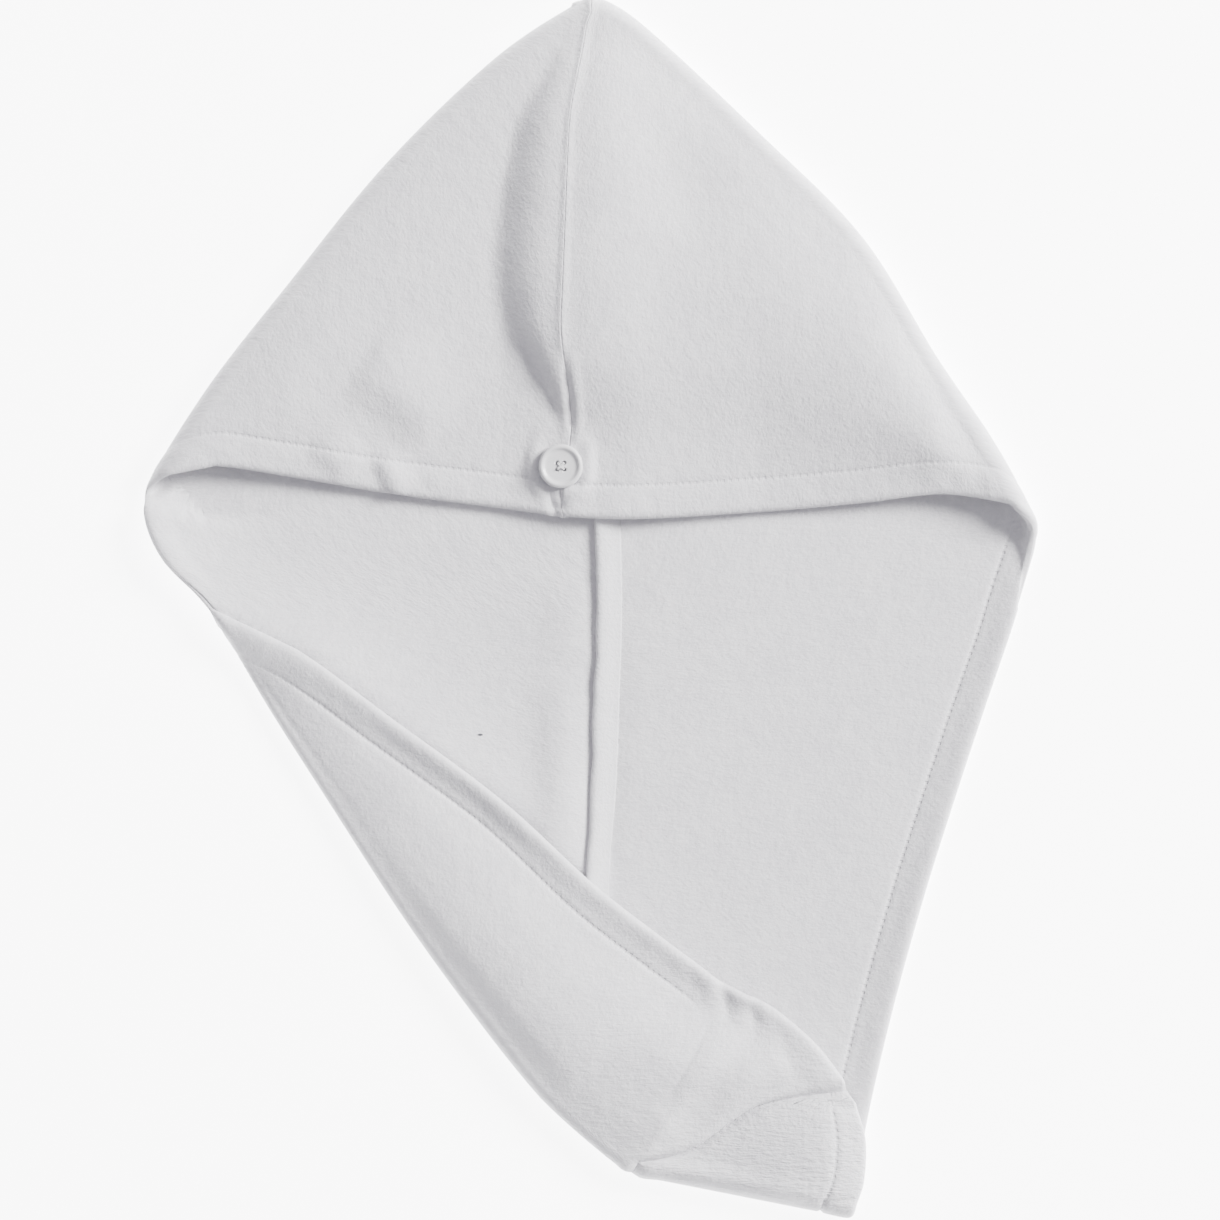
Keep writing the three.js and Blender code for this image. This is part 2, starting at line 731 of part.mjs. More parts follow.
// The thread: a leg through each hole, two strands across the top, and a knot behind
function threadGeometry() {
  const top = buttonThick - buttonDish + clearance;
  const strandTop = top + strandThick;
  const knotTop = -clearance;
  const knotLow = clearance - shankHeight;
  const reach = holeSpacing * Math.SQRT2 + threadWidth;
  let solid = post(reach, knotLow, knotTop, [0, 0]);
  holePlaces.forEach((spot) => {
    solid = solid.add(post(threadWidth, knotLow, strandTop, spot));
  });
  [-1, 1].forEach((turn) => {
    const strand = new THREE.BoxGeometry(reach, threadWidth, strandTop - top);
    strand.translate(0, 0, (top + strandTop) / 2);
    strand.rotateZ((turn * Math.PI) / 4);
    solid = solid.add(solidOf(strand));
  });
  return geometryOf(solid);
}

function named(name, geometry, colour, roughness) {
  const material = new THREE.MeshStandardMaterial({ color: colour, roughness, metalness: 0 });
  const mesh = new THREE.Mesh(geometry, material);
  mesh.name = name;
  return mesh;
}

const leftCloth = { ...clothGrid('left'), shifts: [] };
const rightCloth = { ...clothGrid('right'), shifts: [] };
sew(leftCloth, rightCloth);

// The button sits on the seam just above the hood's hem
const buttonPlace = place([-0.033, 0.115]);
const buttonSlack = 1.3;

function clothTopNear(centre, radius) {
  let top = 0;
  [leftCloth, rightCloth].forEach(({ grid, normals }) => {
    grid.forEach((row, i) => row.forEach((p, j) => {
      if (normals[i][j].z > 0.5 && Math.hypot(p.x - centre.x, p.y - centre.y) < radius) {
        top = Math.max(top, p.z + wall / 2);
      }
    }));
  });
  return top;
}

const turban = new THREE.Group();
turban.add(named('left_panel', panelGeometry(leftCloth), fleeceWhite, 0.95));
turban.add(named('right_panel', panelGeometry(rightCloth), fleeceWhite, 0.95));
turban.add(named('centre_seam', seamGeometry(leftCloth), seamWhite, 0.9));

const buttonSet = new THREE.Group();
const seat = clothTopNear(buttonPlace, buttonWidth / 2 + wall);
buttonSet.position.set(buttonPlace.x, buttonPlace.y, seat + buttonSlack);
buttonSet.add(named('button', buttonGeometry(), buttonWhite, 0.3));
buttonSet.add(named('button_thread', threadGeometry(), threadWhite, 0.8));
turban.add(buttonSet);

// The origin is under the middle of the towel, on the surface it lies on
const bounds = new THREE.Box3().setFromObject(turban);
const middle = bounds.getCenter(new THREE.Vector3());
turban.position.set(-middle.x, -middle.y, -bounds.min.z);

export default turban;
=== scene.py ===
# %% [markdown]
# # A hair turban towel, lying flat
# The towel is two mirrored panels of plush fleece, sewn together along one seam that runs from the
# nape up to the hood's tip and back down to the end of the tail. The whole free edge is hemmed.
# A round button sits on the seam just above the hood's hem.
# The panels are lofted: short rows of cloth are laid out section by section, from the nape to the
# tail's end, and joined into a grid. That keeps the folds where the real ones are, at any fineness.

import bisect
import math

import bmesh
import bpy
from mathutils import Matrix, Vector, noise


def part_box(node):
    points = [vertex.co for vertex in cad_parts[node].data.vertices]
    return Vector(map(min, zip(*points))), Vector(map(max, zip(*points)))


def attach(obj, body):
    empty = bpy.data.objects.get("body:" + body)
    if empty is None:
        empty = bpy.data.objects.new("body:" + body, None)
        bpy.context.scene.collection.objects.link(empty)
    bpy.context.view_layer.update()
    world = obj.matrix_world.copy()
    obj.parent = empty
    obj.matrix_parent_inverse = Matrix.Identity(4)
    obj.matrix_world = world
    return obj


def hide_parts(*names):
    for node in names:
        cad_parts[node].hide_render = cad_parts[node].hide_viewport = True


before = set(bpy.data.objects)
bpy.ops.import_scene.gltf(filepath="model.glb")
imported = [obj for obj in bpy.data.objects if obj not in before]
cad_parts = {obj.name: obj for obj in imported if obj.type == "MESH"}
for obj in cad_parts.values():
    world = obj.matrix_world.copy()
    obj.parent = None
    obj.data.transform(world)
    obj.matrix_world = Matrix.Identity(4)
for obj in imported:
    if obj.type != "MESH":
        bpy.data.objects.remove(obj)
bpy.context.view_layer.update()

# %% [markdown]
# ## The camera
# The photograph looks straight down. A long lens keeps the towel's outline free of perspective, so
# the camera is an 85 mm one, high enough for its frame to take in 598 mm.

# %% Camera
MM = 0.001
PIXEL = 0.49
FRAME_WIDTH = 1220 * PIXEL * MM
LENS, SENSOR = 85, 36
CLOTH_HEIGHT = 0.008


def new_object(name, data):
    thing = bpy.data.objects.new(name, data)
    bpy.context.scene.collection.objects.link(thing)
    return thing


def mesh_of(name, bm):
    mesh = bpy.data.meshes.new(name)
    bm.to_mesh(mesh)
    bm.free()
    return mesh


lens = bpy.data.cameras.new("camera")
lens.lens = LENS
lens.sensor_width = SENSOR
camera = new_object("camera", lens)
bpy.context.scene.camera = camera
print("camera lens, mm:", LENS)

# %% [markdown]
# ## The sizes
# Every length comes from a few sizes in millimetres. Places are shares of the lying width and
# length, measured from the middle, so the table of sections stays true at any size.

# %% Sizes in millimetres
WIDTH, LENGTH = 438, 597
WALL, CLEARANCE = 2.4, 0.3
HEM_WIDTH, HEM_LIFT = 16.5, 9
SEAM_WIDTH, SEAM_THICK = 9.5, 3.4
HOOD_ROLL, HOOD_LOFT, TAIL_ROLL = 7.5, 4.5, 6.2
ON_FLOOR = WALL / 2
ON_CLOTH = 2.5 * WALL + CLEARANCE
ON_SEAM = ON_CLOTH + SEAM_THICK + CLEARANCE
ON_HEM = ON_CLOTH + WALL
BUTTON_PLACE = (-0.033, 0.115)


def place(share):
    return Vector((share[0] * WIDTH, share[1] * LENGTH))


low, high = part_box("button")
SHIFT = (low + high).to_2d() / 2 / MM - place(BUTTON_PLACE)
camera.location = (
    (9.55 + SHIFT.x) * MM,
    (-1.47 + SHIFT.y) * MM,
    CLOTH_HEIGHT + FRAME_WIDTH * LENS / SENSOR,
)
print("shift, mm:", [round(v, 2) for v in SHIFT], "camera height, m:", round(camera.location.z, 3))

# %% [markdown]
# ## The sections
# A section is one line across a panel: from the hemmed edge, over the roll at the outline, and back
# to the seam. Each has the place of its edge, its outline and its seam on both sides.
# An edge rests on the layer below it, or where `rest` says, and `lift` raises it. `puff` swells the
# upper layer. In a `bowl` the edge itself is the outline.
# `ramp` says how far the lower layer rises to the edge, and `crest` how far the edge stands up.
# `rows` says how closely the cloth's rows follow each other up to the next section.

# %% Table of sections
AT_SEAM = {"edge": (-0.031, 0.074), "rim": (0.001, 0.5), "rest": ON_SEAM, "lift": 0.04, "puff": 0.3}
SECTIONS = [
    {"rows": 5, "keel": (0.002, 0.457), "left": AT_SEAM, "right": AT_SEAM},
    {"rows": 4, "keel": (0.006, 0.416),
     "left": {"edge": (-0.101, 0.081), "rim": (-0.101, 0.451), "lift": 0.12, "puff": 0.3},
     "right": {"edge": (0.051, 0.072), "rim": (0.055, 0.477), "rest": ON_SEAM, "lift": 0.04, "puff": 0.7}},
    {"rows": 3, "keel": (0.013, 0.367),
     "left": {"edge": (-0.227, 0.093), "rim": (-0.227, 0.362), "lift": 0.15, "puff": 0.6},
     "right": {"edge": (0.19, 0.078), "rim": (0.193, 0.383), "lift": 0.15, "puff": 1}},
    {"rows": 3, "keel": (0.019, 0.309),
     "left": {"edge": (-0.34, 0.107), "rim": (-0.34, 0.26), "lift": 0.55, "puff": 0.6},
     "right": {"edge": (0.301, 0.085), "rim": (0.303, 0.301), "lift": 0.45, "puff": 0.9}},
    {"rows": 5, "keel": (0.023, 0.252),
     "left": {"edge": (-0.419, 0.115), "rim": (-0.421, 0.184), "lift": 0.95, "puff": 0.1},
     "right": {"edge": (0.385, 0.092), "rim": (0.385, 0.204), "lift": 0.85, "puff": 0.5}},
    {"rows": 3, "keel": (0.025, 0.195),
     "left": {"rim": (-0.482, 0.114), "lift": 1.1},
     "right": {"edge": (0.441, 0.088), "rim": (0.447, 0.137), "lift": 1, "puff": 0.1}},
    {"rows": 2, "keel": (0.026, 0.137),
     "left": {"rim": (-0.5, 0.08), "bowl": 1, "ramp": 0.95},
     "right": {"rim": (0.483, 0.089), "lift": 1.1}},
    {"rows": 3, "keel": (0.029, 0.055),
     "left": {"rim": (-0.4785, 0.038), "bowl": 1, "ramp": 1},
     "right": {"rim": (0.498, 0.055), "roll": 1.2, "lift": 0.25}},
    {"rows": 4, "keel": (0.03, -0.011),
     "left": {"rim": (-0.423, -0.002), "bowl": 1, "ramp": 0.95},
     "right": {"rim": (0.48, -0.002)}},
    {"rows": 2, "keel": (0.027, -0.076),
     "left": {"edge": (-0.328, -0.034), "rim": (-0.364, -0.076), "roll": 0.45, "lift": 0.35,
              "ramp": 0.8, "crest": 0.6},
     "right": {"rim": (0.442, -0.085)}},
    {"rows": 2, "keel": (0.024, -0.142),
     "left": {"edge": (-0.221, -0.091), "rim": (-0.29, -0.161), "roll": 0.6, "lift": 0.12,
              "ramp": 0.66, "crest": 0.95},
     "right": {"rim": (0.41, -0.156)}},
    {"rows": 2, "keel": (0.016, -0.224),
     "left": {"edge": (-0.1, -0.157), "rim": (-0.202, -0.26), "roll": 0.8, "lift": 0.14,
              "ramp": 0.55, "crest": 1},
     "right": {"rim": (0.374, -0.24)}},
    {"rows": 2, "keel": (0.017, -0.31),
     "left": {"edge": (0.003, -0.226), "rim": (-0.116, -0.346), "rest": ON_SEAM, "lift": 0.05,
              "ramp": 0.42, "crest": 0.6},
     "right": {"rim": (0.337, -0.339)}},
    {"rows": 2, "keel": (0.029, -0.392),
     "left": {"edge": (0.078, -0.269), "rim": (-0.054, -0.402), "rest": ON_SEAM, "lift": 0.03,
              "ramp": 0.36, "crest": 0.6},
     "right": {"rim": (0.309, -0.429)}},
    {"rows": 3,
     "left": {"edge": (0.125, -0.295), "rim": (-0.011, -0.433), "lift": 0.15,
              "ramp": 0.3, "crest": 0.7},
     "right": {}},
    {"rows": 3,
     "left": {"edge": (0.146, -0.307), "rim": (0.011, -0.446), "lift": 0.12,
              "ramp": 0.28, "crest": 0.65},
     "right": {}},
    {"rows": 2,
     "left": {"edge": (0.173, -0.317), "lift": 0.12, "ramp": 0.25, "crest": 0.6},
     "right": {}},
    {"rows": 2, "keel": (0.111, -0.445), "keel_height": ON_HEM + 0.25 * HEM_LIFT,
     "left": {"edge": (0.206, -0.329), "lift": 0.12, "ramp": 0.2, "crest": 0.5},
     "right": {"edge": (0.306, -0.47), "rest": ON_HEM, "lift": 0.3}},
    {"rows": 2, "keel": (0.184, -0.41), "keel_height": ON_HEM + 0.08 * HEM_LIFT,
     "left": {"edge": (0.251, -0.357), "rest": ON_HEM, "lift": 0.05, "ramp": 0.12, "crest": 0.3},
     "right": {"edge": (0.308, -0.437), "rest": ON_HEM, "lift": 0.12}},
    {"rows": 0, "keel": (0.286, -0.396), "keel_height": ON_HEM + 0.12 * HEM_LIFT,
     "left": {"edge": (0.281, -0.385), "rest": ON_HEM, "lift": 0.12},
     "right": {"edge": (0.297, -0.408), "rest": ON_HEM, "lift": 0.12}},
]
FIRST_TAIL, LEFT_OFF_ROLL, RIGHT_FLAT = 9, 13, 8
BOTTOM_FROM, BOTTOM_TO, TAIL_END_FROM = 14, 16, 15.1
BUMP, BUMP_WAY = (0.046, -0.464), Vector((0.458, 0.889)).normalized()
BOTTOM_CORNER, CORNER_WAY = (0.294, -0.5), Vector((0.2, 0.98))
APEX_COSINE, CORNER_COSINE, TIP_BLEND = 0.84, 0.97, 0.6
RAMP, RAMP_WIDTH, RAMP_UNDER = 12, 27, 7
BOWL_ROLL, BOWL_TURN, CORNER_TURN = 0.8, 170, 125
SEAM_WANDER = [(0, 0), (0.17, 0.004), (0.4, -0.014), (0.77, -0.017), (0.975, -0.005), (1, 0)]
print("sections:", len(SECTIONS))

# %% [markdown]
# ## Between the sections
# Places run on smooth curves through the sections, and heights run straight from one to the next.

# %% Curves through the sections


def clamp(value, least=0.0, most=1.0):
    return max(least, min(most, value))


def ease(t):
    t = clamp(t)
    return t * t * (3 - 2 * t)


def smooth(values, r):
    last = len(values) - 1
    i = min(int(r), last - 1)
    t = r - i
    a, b, c, d = (values[int(clamp(k, 0, last))] for k in (i - 1, i, i + 1, i + 2))
    return b + 0.5 * t * ((c - a) + t * ((2 * a - 5 * b + 4 * c - d) + t * (3 * (b - c) + d - a)))


def straight(values, r):
    i = min(int(r), len(values) - 2)
    return values[i] + (values[i + 1] - values[i]) * (r - i)


def edge_at(edges, r):
    edge = smooth(edges, r)
    edge.z = straight([e.z for e in edges], r)
    return edge


def between(pairs, at, shape=ease):
    """The value at a place, from a table of places and values."""
    k = max(1, bisect.bisect_left([p[0] for p in pairs], at))
    (a, low_value), (b, high_value) = pairs[k - 1], pairs[k]
    return low_value + (high_value - low_value) * shape((at - a) / (b - a))


def on_roll(rim, reach, radius, degrees):
    """A point on a roll: on top at 0 degrees, outermost at 90, on the surface at 180."""
    turn = math.radians(degrees)
    plan = rim + reach * (1 - math.sin(turn))
    return Vector((plan.x, plan.y, ON_FLOOR + radius * (1 + math.cos(turn))))


def edge_turn(height, radius):
    return math.degrees(math.acos(clamp((height - ON_FLOOR) / max(radius, 0.01) - 1, -1, 1)))


def bottom_turn(r):
    return 180 * (1 - (r - BOTTOM_FROM) / (BOTTOM_TO - BOTTOM_FROM))


BUMP_PLACE = place(BUMP)
BUMP_REACH = BUMP_WAY * (TAIL_ROLL / CORNER_COSINE)
CORNER_REACH = CORNER_WAY * TAIL_ROLL
keel_plan = [place(s["keel"]) if "keel" in s else BUMP_PLACE + BUMP_REACH for s in SECTIONS]
keel_height = [s.get("keel_height", ON_FLOOR + 2 * TAIL_ROLL) for s in SECTIONS]


def keel_point(r):
    if BOTTOM_FROM <= r <= BOTTOM_TO:
        return on_roll(BUMP_PLACE, BUMP_REACH, TAIL_ROLL, bottom_turn(r))
    plan = smooth(keel_plan, r)
    height = ON_FLOOR if r < BOTTOM_FROM else straight(keel_height, int(r) + ease(r - int(r)))
    return Vector((plan.x, plan.y, height))


def corner_point(r):
    """The right panel's edge where it turns over at the bottom corner."""
    return on_roll(place(BOTTOM_CORNER), CORNER_REACH, TAIL_ROLL, bottom_turn(r))


print("nape, mm:", [round(v, 1) for v in keel_point(0)])

# %% [markdown]
# ## One panel's edge, outline and rolls
# The same few lists describe both panels, so a right panel differs from a left one only in the
# table's numbers.

# %% Columns of a panel


def panel_columns(side):
    rows = [s[side] for s in SECTIONS]
    rims = [place(c["rim"]) if "rim" in c else BUMP_PLACE for c in rows]
    rolls = [
        0 if side == "right" and i >= RIGHT_FLAT else BOWL_ROLL if c.get("bowl")
        else c.get("roll", 1) * (TAIL_ROLL if i >= FIRST_TAIL else HOOD_ROLL)
        for i, c in enumerate(rows)
    ]
    heights = [c.get("rest", ON_CLOTH) + c["lift"] * HEM_LIFT if "lift" in c else ON_FLOOR for c in rows]
    turns = [
        0 if "edge" in c or (side == "left" and i >= FIRST_TAIL - 1)
        else BOWL_TURN if c.get("bowl") else CORNER_TURN if i >= RIGHT_FLAT
        else edge_turn(heights[i], rolls[i])
        for i, c in enumerate(rows)
    ]
    columns = {"side": side, "rows": rows, "rims": rims, "rolls": rolls, "heights": heights, "turns": turns}
    for name in ("puff", "bowl", "ramp", "crest"):
        columns[name] = [c.get(name, 0) for c in rows]
    columns["edges"] = [edge_of_section(columns, i) for i in range(len(rows))]
    return columns


def roll_of(columns, r):
    step = 0.01
    rim = smooth(columns["rims"], r)
    start = max(r - step, 0)
    along = (smooth(columns["rims"], start + 2 * step) - smooth(columns["rims"], start)).normalized()
    inward = Vector((-along.y, along.x)) if columns["side"] == "left" else Vector((along.y, -along.x))
    radius = straight(columns["rolls"], r)
    reach = Vector((0, -radius / APEX_COSINE)).lerp(inward * radius, min(1, r / TIP_BLEND))
    roll = {"rim": rim, "reach": reach, "end_rim": rim, "end_reach": reach, "radius": radius}
    roll["turn"], roll["end_turn"] = straight(columns["turns"], r), 180
    bowl = ease(straight(columns["bowl"], r))
    roll["raised"] = bowl * RAMP * straight(columns["ramp"], r)
    if columns["side"] == "left" and r > LEFT_OFF_ROLL:
        near = min(1, r - LEFT_OFF_ROLL)
        roll["end_rim"] = rim.lerp(BUMP_PLACE, near)
        roll["end_reach"] = reach.lerp(BUMP_REACH, near)
        if r > BOTTOM_FROM:
            roll["end_turn"] = bottom_turn(r)
            roll["reach"] = reach.lerp(BUMP_REACH, (r - BOTTOM_FROM) / (BOTTOM_TO - BOTTOM_FROM))
    return roll


def edge_of_section(columns, i):
    c = columns["rows"][i]
    if columns["side"] == "right" and RIGHT_FLAT <= i < BOTTOM_FROM:
        return columns["rims"][i].to_3d() + Vector((0, 0, ON_FLOOR))
    if columns["side"] == "right" and BOTTOM_FROM <= i <= BOTTOM_TO:
        return corner_point(i)
    if "edge" in c:
        plan = place(c["edge"])
        return Vector((plan.x, plan.y, columns["heights"][i]))
    return roll_point(roll_of(columns, i))


def roll_point(roll, at=""):
    """Where a row's roll begins, or with `end_` where it ends."""
    point = on_roll(roll[at + "rim"], roll[at + "reach"], roll["radius"], roll[at + "turn"])
    point.z += roll["raised"]
    return point


sides = {side: panel_columns(side) for side in ("left", "right")}
for side, columns in sides.items():
    path = [smooth([e.to_2d() for e in columns["edges"]], k / 10) for k in range(190)]
    print(side, "edge, mm:", round(sum((b - a).length for a, b in zip(path, path[1:]))))

# %% [markdown]
# ## Folds and swells
# Fleece this thick doesn't lie like paper. Along the hood's seam it stands up as a ridge, steep on
# the left and gentle on the right. Elsewhere there are soft bumps, dents and pleats. Each is a height
# added to the cloth by the distance from a short curve: `left` and `right` are its widths there,
# looking back along the curve, as shares of the lying width.

# %% Bumps, dents and pleats
HOOD_FOLDS = [
    {"path": [(-0.255, 0.195), (-0.215, 0.176), (-0.17, 0.145)],
     "height": 4.2, "left": 0.03, "right": 0.06},
    {"path": [(-0.305, 0.136), (-0.285, 0.122), (-0.265, 0.108)],
     "height": 2.4, "left": 0.016, "right": 0.03},
    {"path": [(-0.236, 0.124), (-0.226, 0.108), (-0.214, 0.09)],
     "height": 3.0, "left": 0.007, "right": 0.02},
    {"path": [(-0.049, 0.1), (-0.042, 0.086), (-0.036, 0.074)],
     "height": -2.4, "left": 0.006, "right": 0.006},
    {"path": [(-0.033, 0.1), (-0.031, 0.086), (-0.029, 0.074)],
     "height": -2.4, "left": 0.005, "right": 0.005},
    {"path": [(0.05, 0.43), (0.1, 0.35), (0.14, 0.3)], "height": -1.6, "left": 0.04, "right": 0.05},
]
TAIL_FOLDS = [
    {"path": [(0.142, -0.303), (0.15, -0.32), (0.156, -0.338)],
     "height": -2.0, "left": 0.008, "right": 0.012},
    {"path": [(0.176, -0.322), (0.182, -0.335), (0.183, -0.345)],
     "height": -1.3, "left": 0.008, "right": 0.01},
    {"path": [(-0.19, -0.23), (-0.06, -0.33), (0.0, -0.38)],
     "height": 2.6, "left": 0.06, "right": 0.07},
    {"path": [(0.12, -0.36), (0.17, -0.38), (0.22, -0.37)],
     "height": 2.4, "left": 0.05, "right": 0.04},
    {"path": [(0.2, -0.368), (0.14, -0.39), (0.083, -0.418)],
     "height": -2.2, "left": 0.02, "right": 0.045},
]
TAIL_END_FOLDS = [
    {"path": [(0.25, -0.405), (0.255, -0.44), (0.26, -0.485)],
     "height": 6, "left": 0.1, "right": 0.04},
]
LOWER_FOLDS = [
    {"path": [(-0.037, -0.05), (-0.035, -0.11), (-0.033, -0.17), (-0.036, -0.22)],
     "height": 3.4, "left": 0.022, "right": 0.028},
    {"path": [(-0.034, 0.03), (-0.03, -0.01), (-0.03, -0.05)],
     "height": 1.2, "left": 0.02, "right": 0.03},
]
FOLD_STEPS, FOLD_FAR = 48, 60


def fold_curves(folds):
    made = []
    for fold in folds:
        points = [place(p) for p in fold["path"]]
        span = len(points) - 1
        line = [smooth(points, span * k / FOLD_STEPS) for k in range(FOLD_STEPS + 1)]
        made.append((fold, line))
    return made


def nearest(line, x, y):
    """The index of the line's nearest point, the distance to it, and on which side the point lies."""
    i = min(range(len(line)), key=lambda k: (line[k].x - x) ** 2 + (line[k].y - y) ** 2)
    a, b = line[max(i - 1, 0)], line[min(i + 1, len(line) - 1)]
    cross = (b.x - a.x) * (y - a.y) - (b.y - a.y) * (x - a.x)
    return i, math.hypot(line[i].x - x, line[i].y - y), cross


def relief(curves, x, y):
    height = 0
    for fold, line in curves:
        reach = 3 * max(fold["left"], fold["right"]) * WIDTH
        if min(abs(p.x - x) + abs(p.y - y) for p in line[::FOLD_STEPS // 4]) > reach + FOLD_FAR:
            continue
        i, distance, cross = nearest(line, x, y)
        width = (fold["right"] if cross > 0 else fold["left"]) * WIDTH
        taper = math.sin(math.pi * (i + 0.5) / len(line)) ** 0.6
        height += fold["height"] * taper * math.exp(-((distance / width) ** 2))
    return height


hood_curves, tail_curves = fold_curves(HOOD_FOLDS), fold_curves(TAIL_FOLDS)
tail_end_curves, lower_curves = fold_curves(TAIL_END_FOLDS), fold_curves(LOWER_FOLDS)
print("folds:", len(hood_curves) + len(tail_curves) + len(tail_end_curves) + len(lower_curves))

# %% The ridge along the hood's seam
RIDGE_FOOT = [
    (0.138, 0.014), (0.155, 0.014), (0.174, 0.026), (0.199, 0.045), (0.231, 0.068), (0.267, 0.08),
    (0.293, 0.082), (0.335, 0.076), (0.384, 0.064), (0.44, 0.034), (0.475, 0.016), (0.5, 0.008),
]
RIDGE_HEIGHT = [
    (0.138, 0), (0.155, 1.5), (0.174, 5), (0.199, 8.5), (0.231, 10.2), (0.267, 10.8),
    (0.293, 10.8), (0.335, 10.3), (0.384, 9), (0.44, 5.5), (0.475, 1.6), (0.5, 0),
]
RIDGE_FAR = 40


def ridge(x, y):
    """The ridge's height at a point: a rounded left flank down to its foot, and a long right one."""
    share = y / LENGTH
    if not RIDGE_HEIGHT[0][0] < share < RIDGE_HEIGHT[-1][0]:
        return 0
    foot, height = between(RIDGE_FOOT, share) * WIDTH, between(RIDGE_HEIGHT, share)
    edge, tip = SECTIONS[0]["left"]["edge"], SECTIONS[0]["left"]["rim"]
    way = clamp((share - edge[1]) / (tip[1] - edge[1]))
    seam = (edge[0] + (tip[0] - edge[0]) * way + between(SEAM_WANDER, way)) * WIDTH
    away = x - seam
    if away < 0:
        return height * (0.5 + 0.5 * math.cos(math.pi * min(1, -away / foot) ** 1.6))
    return height * math.exp(-((away / RIDGE_FAR) ** 1.5))


print("ridge at the seam's middle, mm:", round(ridge(-5, 0.28 * LENGTH), 1))

# %% [markdown]
# ## Rows of cloth
# Each row is worked out as fine points in up to three parts: the upper layer from the edge to the
# top of the roll, the roll itself, and the lower layer from its foot to the seam.

# %% The parts of a row
STEPS = 60
CREST, CREST_WIDTH = 7.5, 9
TAIL_LOFT, TAIL_SHOULDER, TAIL_SHOULDER_WIDTH, TAIL_RISE = 2, 3, 13, 0.55
SHOULDER, SHOULDER_WIDTH = {"seam": 1.2, "left": 1.5, "right": 4.5}, 26
NEST, NEST_RADIUS, NEST_WIDTH = 2.6, 14, 3
UNEVEN, UNEVEN_SIZE = 0.7, 55
FLOOR_UNEVEN, FLOOR_UNEVEN_SIZE = 0.45, 70
INSIDE = 0.15
HOOD_END = 5
crest_line = [smooth([e.to_2d() for e in sides["left"]["edges"]], 5 + k / 8) for k in range(106)]
crest_size = [straight(sides["left"]["ramp"], 5 + k / 8) for k in range(106)]


def ramp_height(x, y):
    """How far the lower layer rises towards the tail's standing edge."""
    i, distance, cross = nearest(crest_line, x, y)
    width, power = (RAMP_WIDTH, 1.4) if cross > 0 else (RAMP_UNDER, 2)
    return RAMP * crest_size[i] * math.exp(-((distance / width) ** power))


def soft_noise(p, size, seed):
    return noise.noise(Vector((p.x / size, p.y / size, seed)))


def uneven(p):
    """The slow unevenness of a soft layer that lies on another."""
    return UNEVEN * soft_noise(p, UNEVEN_SIZE, 3.1)


def floor_uneven(p, seed):
    """The same of a layer on the floor, which never goes below it."""
    return FLOOR_UNEVEN * (1 + soft_noise(p, FLOOR_UNEVEN_SIZE, seed))


def nest(x, y):
    """The pile stands up round the button, which is pulled into it."""
    distance = (Vector((x, y)) - place(BUTTON_PLACE)).length
    return NEST * math.exp(-(((distance - NEST_RADIUS) / NEST_WIDTH) ** 2))


def standing_edge(columns, r, far):
    """The tail's edge stands up from the layer below, and the height fades away from it."""
    return CREST * straight(columns["crest"], r) * math.exp(-((far / CREST_WIDTH) ** 2))


def tail_folds(p, t):
    return TAIL_LOFT * math.sin(math.pi * t) + relief(tail_curves, p.x, p.y)


def tail_shoulder(t, length):
    """The tail is fullest a little inside its roll."""
    return TAIL_SHOULDER * (1 - math.exp(-length * (1 - t) / TAIL_SHOULDER_WIDTH)) * ease(t / 0.5)


def upper_layer(columns, edge, top, r):
    """From the edge to the top of the roll. Over the tail, the layer rises quickly and then lies level."""
    length = (top - edge).length
    tail = columns["side"] == "left" and r >= 8
    rise = 1 - (1 - TAIL_RISE) * ease((r - 10) / 5) if tail else 1
    hood = ease(HOOD_END - r)
    points = []
    for k in range(STEPS + 1):
        t = k / STEPS
        p = edge.lerp(top, t)
        p.z = edge.z + (top.z - edge.z) * ease(t / rise)
        p.z += straight(columns["puff"], r) * HOOD_LOFT * math.sin(math.pi * t) ** 2
        p.x += max(0, 1 - r) * between(SEAM_WANDER, t) * WIDTH
        inside = ease((1 - t) / INSIDE)
        if r < HOOD_END:
            p.z += inside * hood * (relief(hood_curves, p.x, p.y) + ridge(p.x, p.y) + nest(p.x, p.y))
            high = SHOULDER["seam"] + (SHOULDER[columns["side"]] - SHOULDER["seam"]) * ease(r)
            p.z += high * (1 - math.exp(-length * (1 - t) / SHOULDER_WIDTH)) * ease(t / 0.4) * hood
        elif tail:
            p.z += standing_edge(columns, r, length * t) + ease(r - 8) * inside * tail_folds(p, t)
            p.z += ease((r - 9) / 2) * tail_shoulder(t, length)
        p.z += inside * uneven(p)
        points.append(p)
    return points


def roll_layer(roll):
    points = []
    for k in range(STEPS + 1):
        turn = roll["turn"] + (roll["end_turn"] - roll["turn"]) * k / STEPS
        share = turn / roll["end_turn"] if roll["end_turn"] > 0 else 1
        rim = roll["rim"].lerp(roll["end_rim"], share)
        reach = roll["reach"].lerp(roll["end_reach"], share)
        points.append(on_roll(rim, reach, roll["radius"], turn) + Vector((0, 0, roll["raised"])))
    return points


